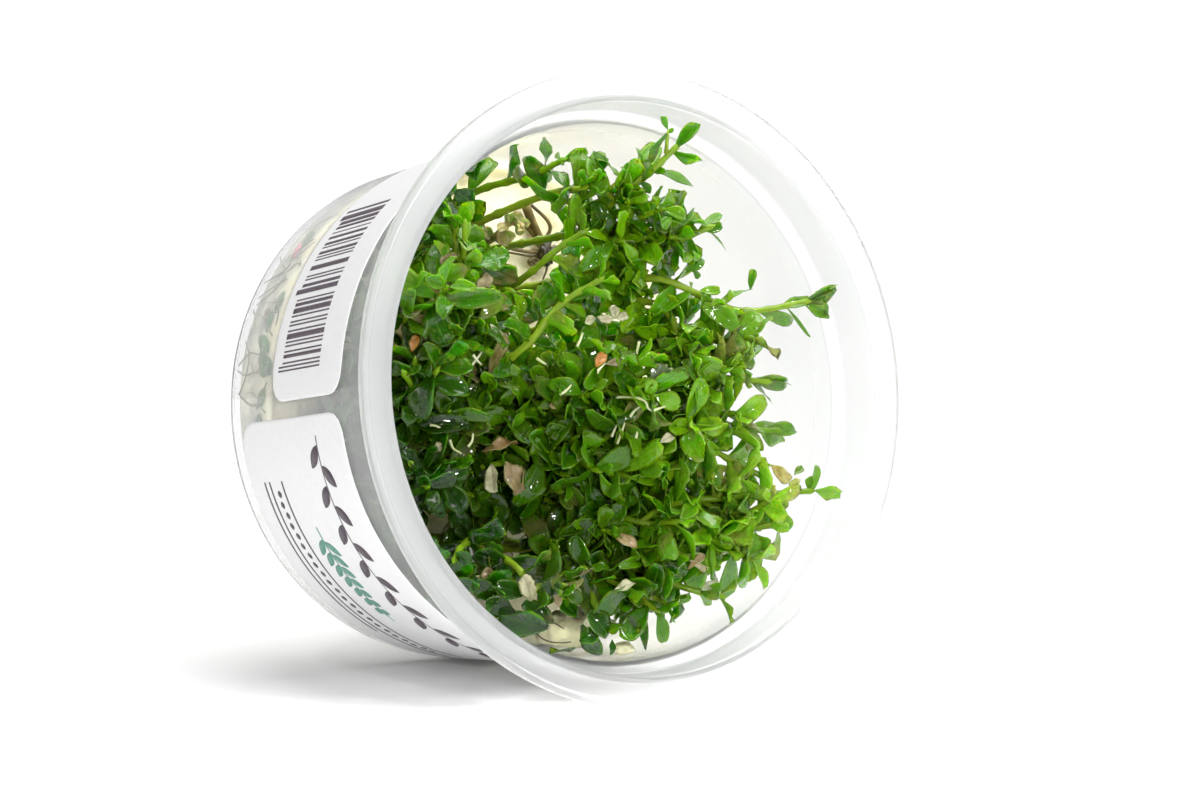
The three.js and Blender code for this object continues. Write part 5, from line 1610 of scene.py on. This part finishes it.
# %% Roots at the wall
WALL_ROOTS = [
    # (angle in degrees from the left side downwards, depth) along roots between jelly and wall
    [(-35, 53.5), (-34.4, 57), (-33.4, 60)], [(-33, 50.9), (-31.2, 55.8), (-29.3, 59.5)],
    [(-36.6, 54.6), (-39, 58), (-41, 60)], [(-6.2, 58.8), (-9.5, 56.8), (-14, 56.1), (-18.6, 58.8)],
    [(-2.2, 51.8), (-5.4, 50.2), (-7.9, 48)], [(-26.4, 59.5), (-23.3, 57.3), (-19.9, 57.3)],
    [(-11.8, 60), (-10.4, 56.9), (-10.9, 53.1)], [(-28, 52.2), (-24.4, 48.6), (-21, 48.1)],
    [(-13, 60), (-15.5, 56), (-14.8, 52), (-17, 48.6)], [(-34.0, 52), (-30.5, 54), (-27.5, 59)],
    [(-44, 50), (-40, 54), (-36.8, 53), (-34, 58)], [(-4, 49), (-3.2, 54), (-6.4, 59)],
]


def on_wall(angle, depth, inset):
    """A place inside the wall at an angle from the left side downwards."""
    turn = math.radians(angle)
    radius = wall_radius(depth) - inset
    return (-radius * math.cos(turn), -radius * math.sin(turn), depth)


WALL_GAP, FREE_WALL_ROOTS, ROOTS_FROM = WALL + 0.18, 64, 48.4
wall_routes = [([on_wall(*place, WALL_GAP) for place in row], 0.14, 0.10) for row in WALL_ROOTS]
for k in range(FREE_WALL_ROOTS):
    angle = 360.0 * k / FREE_WALL_ROOTS + rng.uniform(-2.5, 2.5)
    slope = rng.uniform(-5.0, 5.0)
    depths = np.linspace(ROOTS_FROM, rng.uniform(53.0, 60.0), 4)
    sway = rng.uniform(-1.4, 1.4, 4)
    points = [on_wall(angle + slope * (d - ROOTS_FROM) / 8 + s, d, WALL_GAP) for d, s in zip(depths, sway)]
    wall_routes.append((points, rng.uniform(0.09, 0.15), 0.06))
tubes_piece("roots_at_wall", wall_routes, moss_root)
print("roots at the wall:", len(wall_routes))

# %% [markdown]
# ### Leaves at the clear wall
# Through the base of the cup one sees leaves that grew flat against the plastic, a red bract and an
# old spot: flat ovals just inside the wall. Further out, green leaves only lean on it; they are the
# same surfaces as on the shoots, strewn at random round the left side.

# %% Leaves pressed against the wall
moss_green = clouded_material("pressed_leaf", (0.012, 0.065, 0.002), (0.035, 0.15, 0.005), 0.4)
pressed = np.array([
    # angle, depth, turn (0 runs downwards, a right angle runs inwards), length
    (-10.7, 50.7, 3.10, 5.4), (-14.9, 48.4, 2.10, 6.4), (-19.6, 51.0, 2.96, 4.6), (-9.4, 46.5, 2.40, 4.6),
    (-42.3, 52.1, 2.60, 5.0), (-6.8, 48.5, 0.73, 4.2), (-24.5, 50.2, 3.30, 4.0), (-1.6, 50.6, 0.30, 4.6),
    (-12.0, 47.4, 1.20, 4.0), (95.0, 48.6, 0.50, 5.0), (130.0, 49.4, 2.20, 5.4), (170.0, 48.8, 1.10, 4.4),
    (205.0, 50.0, 2.80, 5.0), (240.0, 48.7, 0.20, 5.2),
])
BEHIND_WALL = -WALL_GAP - STUCK - PAPER
leaf_marks("leaves_at_wall", arc_of(1.0) * pressed[:, 0], pressed[:, 1], pressed[:, 2], pressed[:, 3], 2.7,
           moss_green, BEHIND_WALL)
red_bract = clouded_material("red_bract", (0.36, 0.03, 0.06), (0.60, 0.12, 0.14), 0.4)
leaf_marks("bract_at_wall", [arc_of(-38.4)], [53.3], [2.8], [4.4], 2.2, red_bract, BEHIND_WALL + 0.01)
leaf_marks("spot_at_wall", [arc_of(-24.3)], [52.4], [2.0], [2.2], 1.9, brown_root, BEHIND_WALL + 0.01)
print("leaves pressed against the wall:", len(pressed))

# %% Leaves that lean on the wall
# Painted shade: these leaves' colour is scaled down and their tints kept dark, for the shade they lie in
# against the wall.
count, leaning_light_gain = 110, 0.6
angle = np.radians(rng.uniform(-62, 58, count))
depth = rng.uniform(11.0, 30.0, count)
inset = rng.uniform(1.0, 4.0, count)
radius = wall_radius(depth) - WALL - inset
at = np.stack([-radius * np.cos(angle), -radius * np.sin(angle), depth], axis=1)
along = unit(rng.normal(size=(count, 3)) * (0.5, 1.0, 1.0))
outward = unit(at * (1.0, 1.0, 0.0))
face = unit(outward - along * (outward * along).sum(axis=1, keepdims=True))
grid = keep_inside(leaf_places(at, along, face, rng.uniform(5.0, 7.0, count), rng.uniform(1.6, 2.1, count),
                               rng.uniform(-0.1, 0.2, count), rng.uniform(0.1, 0.5, count),
                               rng.uniform(0.1, 0.4, count), rng.uniform(0, 6.28, count),
                               rng.uniform(-0.4, 0.4, count)), 0.1)
make_piece("leaves_by_wall", to_frame(grid.reshape(-1, 3)), ring_stack_faces(count, len(SHARES)),
           [leaf_green], uv=np.tile(leaf_uv, (count, 1)),
           values={"tint": np.repeat(rng.uniform(0, 0.4, count), LEAF_POINTS),
                   "painted_light_gain": np.full(count * LEAF_POINTS, leaning_light_gain)})
print("leaves that lean on the wall:", count)

# %% [markdown]
# ### Roots in the air
# Short white roots break out of the leaf joints wherever the air is damp. They are few and catch the
# light, so each stands where the eye finds one.

# %% Aerial roots
AERIAL_ROOTS = [
    # points (x, y, depth)
    [(-23.9, 4.9, 13.0), (-22.9, 6.1, 12.6), (-21.8, 7.3, 12.6)],
    [(-23.4, 6.9, 12.6), (-22.9, 6.1, 12.4), (-22.1, 5.3, 12.4)],
    [(-17.0, 5.5, 4.3), (-16.4, 5.0, 4.0), (-15.5, 4.5, 4.1)],
    [(-8.9, 7.1, 5.2), (-8.4, 8.1, 4.9), (-7.7, 9.2, 5.1)],
    [(2.1, 7.4, 4.2), (1.3, 5.6, 3.9), (1.2, 3.9, 4.1)],
    [(-31.7, -3.6, 13.0), (-30.9, -3.8, 12.6), (-29.6, -4.4, 12.8)],
    [(-28.6, -6.1, 12.6), (-28.3, -7.4, 12.3), (-26.8, -8.3, 12.4)],
    [(-25.5, -7.3, 12.5), (-24.9, -6.5, 12.2), (-24.5, -5.3, 12.4)],
    [(-1.9, -1.4, 8.2), (-1.7, -1.1, 5.6), (-0.9, -1.2, 4.0), (-0.6, -1.5, 1.6)],
    [(-0.6, -1.5, 1.6), (0.6, -2.1, 1.4), (1.0, -3.2, 1.3), (1.6, -3.7, 1.2)],
    [(1.6, -3.7, 1.2), (2.7, -3.4, 1.1), (4.0, -3.1, 1.0)],
    [(-2.5, -8.4, 5.6), (-2.1, -6.9, 4.9), (-1.3, -5.2, 4.8)],
    [(-3.0, -7.2, 6.2), (-2.8, -6.4, 5.8), (-2.4, -5.4, 5.4)],
    [(0.2, -7.7, 4.2), (0.4, -6.8, 4.0), (0.4, -5.9, 4.0)],
    [(-0.6, -4.3, 4.2), (-0.2, -3.5, 3.6), (-0.2, -2.9, 1.8)],
    [(-2.4, -1.8, 8.0), (-2.2, -2.6, 7.6), (-1.8, -3.2, 7.2)],
    [(5.8, 1.7, 4.0), (6.4, -0.1, 3.6), (7.8, -1.8, 3.4)],
    [(-11.8, -0.2, 6.6), (-10.9, 0.3, 6.2), (-9.7, 1.2, 6.4)],
    [(-30.8, 15.5, 11.0), (-30.1, 15.9, 10.6), (-29.3, 17.0, 10.8)],
]
tubes_piece("roots_in_air", [(row, 0.26, 0.15) for row in AERIAL_ROOTS], pale_root)
print("aerial roots:", len(AERIAL_ROOTS))

# %% [markdown]
# ### Old leaves
# Some leaves have lost their green: amber, then tan with a pink cast, then pale cream, and last a
# thin grey green. Each is set one by one where the eye finds it. One ramp holds the four stages, and
# the rim of the leaf keeps some green longest.

# %% Old leaves
OLD_LEAVES = [
    # base (x, y, depth), tip (x, y, depth), width, roll in degrees, stage from 0 (amber) to 1 (grey green)
    ((-17.3, -10.0, 15.6), (-14.6, -14.4, 14.6), 3.4, 25, 0.34),
    ((-19.0, -10.2, 16.6), (-19.6, -14.3, 15.8), 2.3, -20, 0.62),
    ((-20.9, -8.2, 15.6), (-15.5, -6.8, 14.6), 2.2, 35, 0.26),
    ((-25.2, 22.5, 12.2), (-29.1, 21.5, 11.8), 1.8, 20, 0.36),
    ((-23.4, 17.2, 11.2), (-25.7, 15.0, 10.6), 2.3, -15, 0.42),
    ((-22.5, 15.8, 11.4), (-20.2, 18.6, 11.2), 2.2, 20, 0.40),
    ((-19.9, 11.6, 12.6), (-19.2, 8.9, 12.0), 1.4, 30, 0.70),
    ((-1.8, 11.2, 4.6), (-2.0, 13.2, 4.0), 1.4, 10, 0.64),
    ((-1.5, 11.2, 4.5), (-0.1, 11.7, 3.8), 1.4, -20, 0.66),
    ((-2.2, 11.3, 4.6), (-4.6, 11.0, 4.0), 1.3, 25, 0.58),
    ((-4.9, 11.5, 5.6), (-7.9, 11.0, 5.0), 1.3, 20, 0.60),
    ((-5.6, 3.8, 5.2), (-4.2, 5.8, 4.8), 1.6, 15, 0.03),
    ((-3.7, 4.2, 5.2), (-1.5, 4.9, 4.8), 1.3, -25, 0.40),
    ((4.6, 4.8, 4.8), (7.4, 5.0, 4.4), 1.4, 40, 0.02),
    ((4.6, 4.0, 5.0), (6.9, 0.5, 4.0), 3.4, -10, 0.97),
    ((-23.8, -27.5, 13.0), (-27.1, -28.8, 12.4), 1.8, 20, 0.36),
    ((-23.2, -29.5, 12.2), (-23.7, -26.4, 11.6), 2.1, -10, 0.34),
    ((-18.7, -31.8, 8.2), (-19.8, -27.5, 7.4), 2.3, 15, 0.60),
    ((-13.6, -33.1, 8.4), (-13.9, -30.9, 7.9), 1.3, 10, 0.36),
    ((-9.6, -32.8, 9.2), (-10.0, -30.3, 8.7), 1.3, -10, 0.90),
    ((-11.1, -29.1, 9.8), (-6.7, -28.5, 9.0), 1.4, 45, 0.45),
    ((-5.2, -31.5, 5.6), (-1.8, -30.5, 5.0), 1.4, 30, 0.62),
    ((-6.6, -35.3, 8.6), (-4.5, -37.6, 8.2), 2.0, 0, 0.90),
    ((7.9, -28.9, 3.6), (11.0, -27.1, 3.2), 1.2, 30, 0.30),
    ((8.5, -27.5, 3.8), (11.6, -29.2, 3.4), 1.1, -30, 0.45),
    ((-34.2, 7.7, 12.6), (-33.5, 10.1, 12.2), 1.4, 20, 0.04),
    ((10.7, -32.4, 4.6), (13.5, -31.5, 4.2), 1.4, 10, 0.85),
    ((-31.5, -7.8, 13.0), (-29.7, -6.7, 12.6), 1.4, 10, 0.45),
    ((4.8, -8.7, 4.4), (6.9, -7.7, 4.0), 1.3, 10, 0.60),
]


def old_leaf_material():
    """Four stages by the leaf's "stage" value, clouded, with green left at the rim and brown in the rib."""
    material, tree, shader = new_material("old_leaf")
    stages = ramp_node(tree, value_of(tree, "stage"),
                       [(0.0, (0.50, 0.19, 0.012)), (0.3, (0.25, 0.17, 0.075)), (0.62, (0.52, 0.53, 0.33)),
                        (1.0, (0.16, 0.25, 0.12))])
    cloud = noise_node(tree, 700, 4, 0.6)
    shade = ramp_node(tree, cloud.outputs["Fac"], [(0.3, (0.6, 0.55, 0.5)), (0.7, (1.35, 1.3, 1.3))])
    colour = mix_node(tree, 1.0, stages.outputs["Color"], shade.outputs["Color"], "MULTIPLY")
    off, rib, _ = rib_sockets(tree, 12.0)
    rim = math_node(tree, "POWER", math_node(tree, "MULTIPLY", off, 2.0), 5.0)
    colour = overlaid(tree, colour, rib, 0.5, (0.12, 0.13, 0.04))
    colour = overlaid(tree, colour, rim, 0.8, (0.22, 0.27, 0.05))
    tree.links.new(colour, shader.inputs["Base Color"])
    set_sockets(shader, Roughness=0.3, Coat_Weight=0.4, Coat_Roughness=0.08)
    bump_node(tree, shader, cloud.outputs["Fac"], 0.5, 0.0004)
    return material


base, tip = (np.array([row[k] for row in OLD_LEAVES]) for k in (0, 1))
width, roll, stage = (np.array([row[k] for row in OLD_LEAVES], dtype=float) for k in (2, 3, 4))
along = unit(tip - base)
draw = lambda n: chance(91, np.arange(len(OLD_LEAVES)), n)
grid = keep_inside(leaf_places(base, along, lit_face(along, roll), 1.1 * np.linalg.norm(tip - base, axis=1),
                               0.62 * width, 0.25 - 0.6 * draw(1), 0.3 + 0.9 * draw(2), 0.4 + 0.5 * draw(3),
                               6.28 * draw(4), draw(5) - 0.5), 0.1)
make_piece("leaves_old", to_frame(grid.reshape(-1, 3)), ring_stack_faces(len(OLD_LEAVES), len(SHARES)),
           [old_leaf_material()], uv=np.tile(leaf_uv, (len(OLD_LEAVES), 1)),
           values={"stage": np.repeat(stage, LEAF_POINTS)})
print("old leaves:", len(OLD_LEAVES))

# %% Finish
size = {"cad": [list(map(float, corner)) for corner in cad_box],
        "visual": [list(map(float, corner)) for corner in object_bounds()]}
print("box:", size)
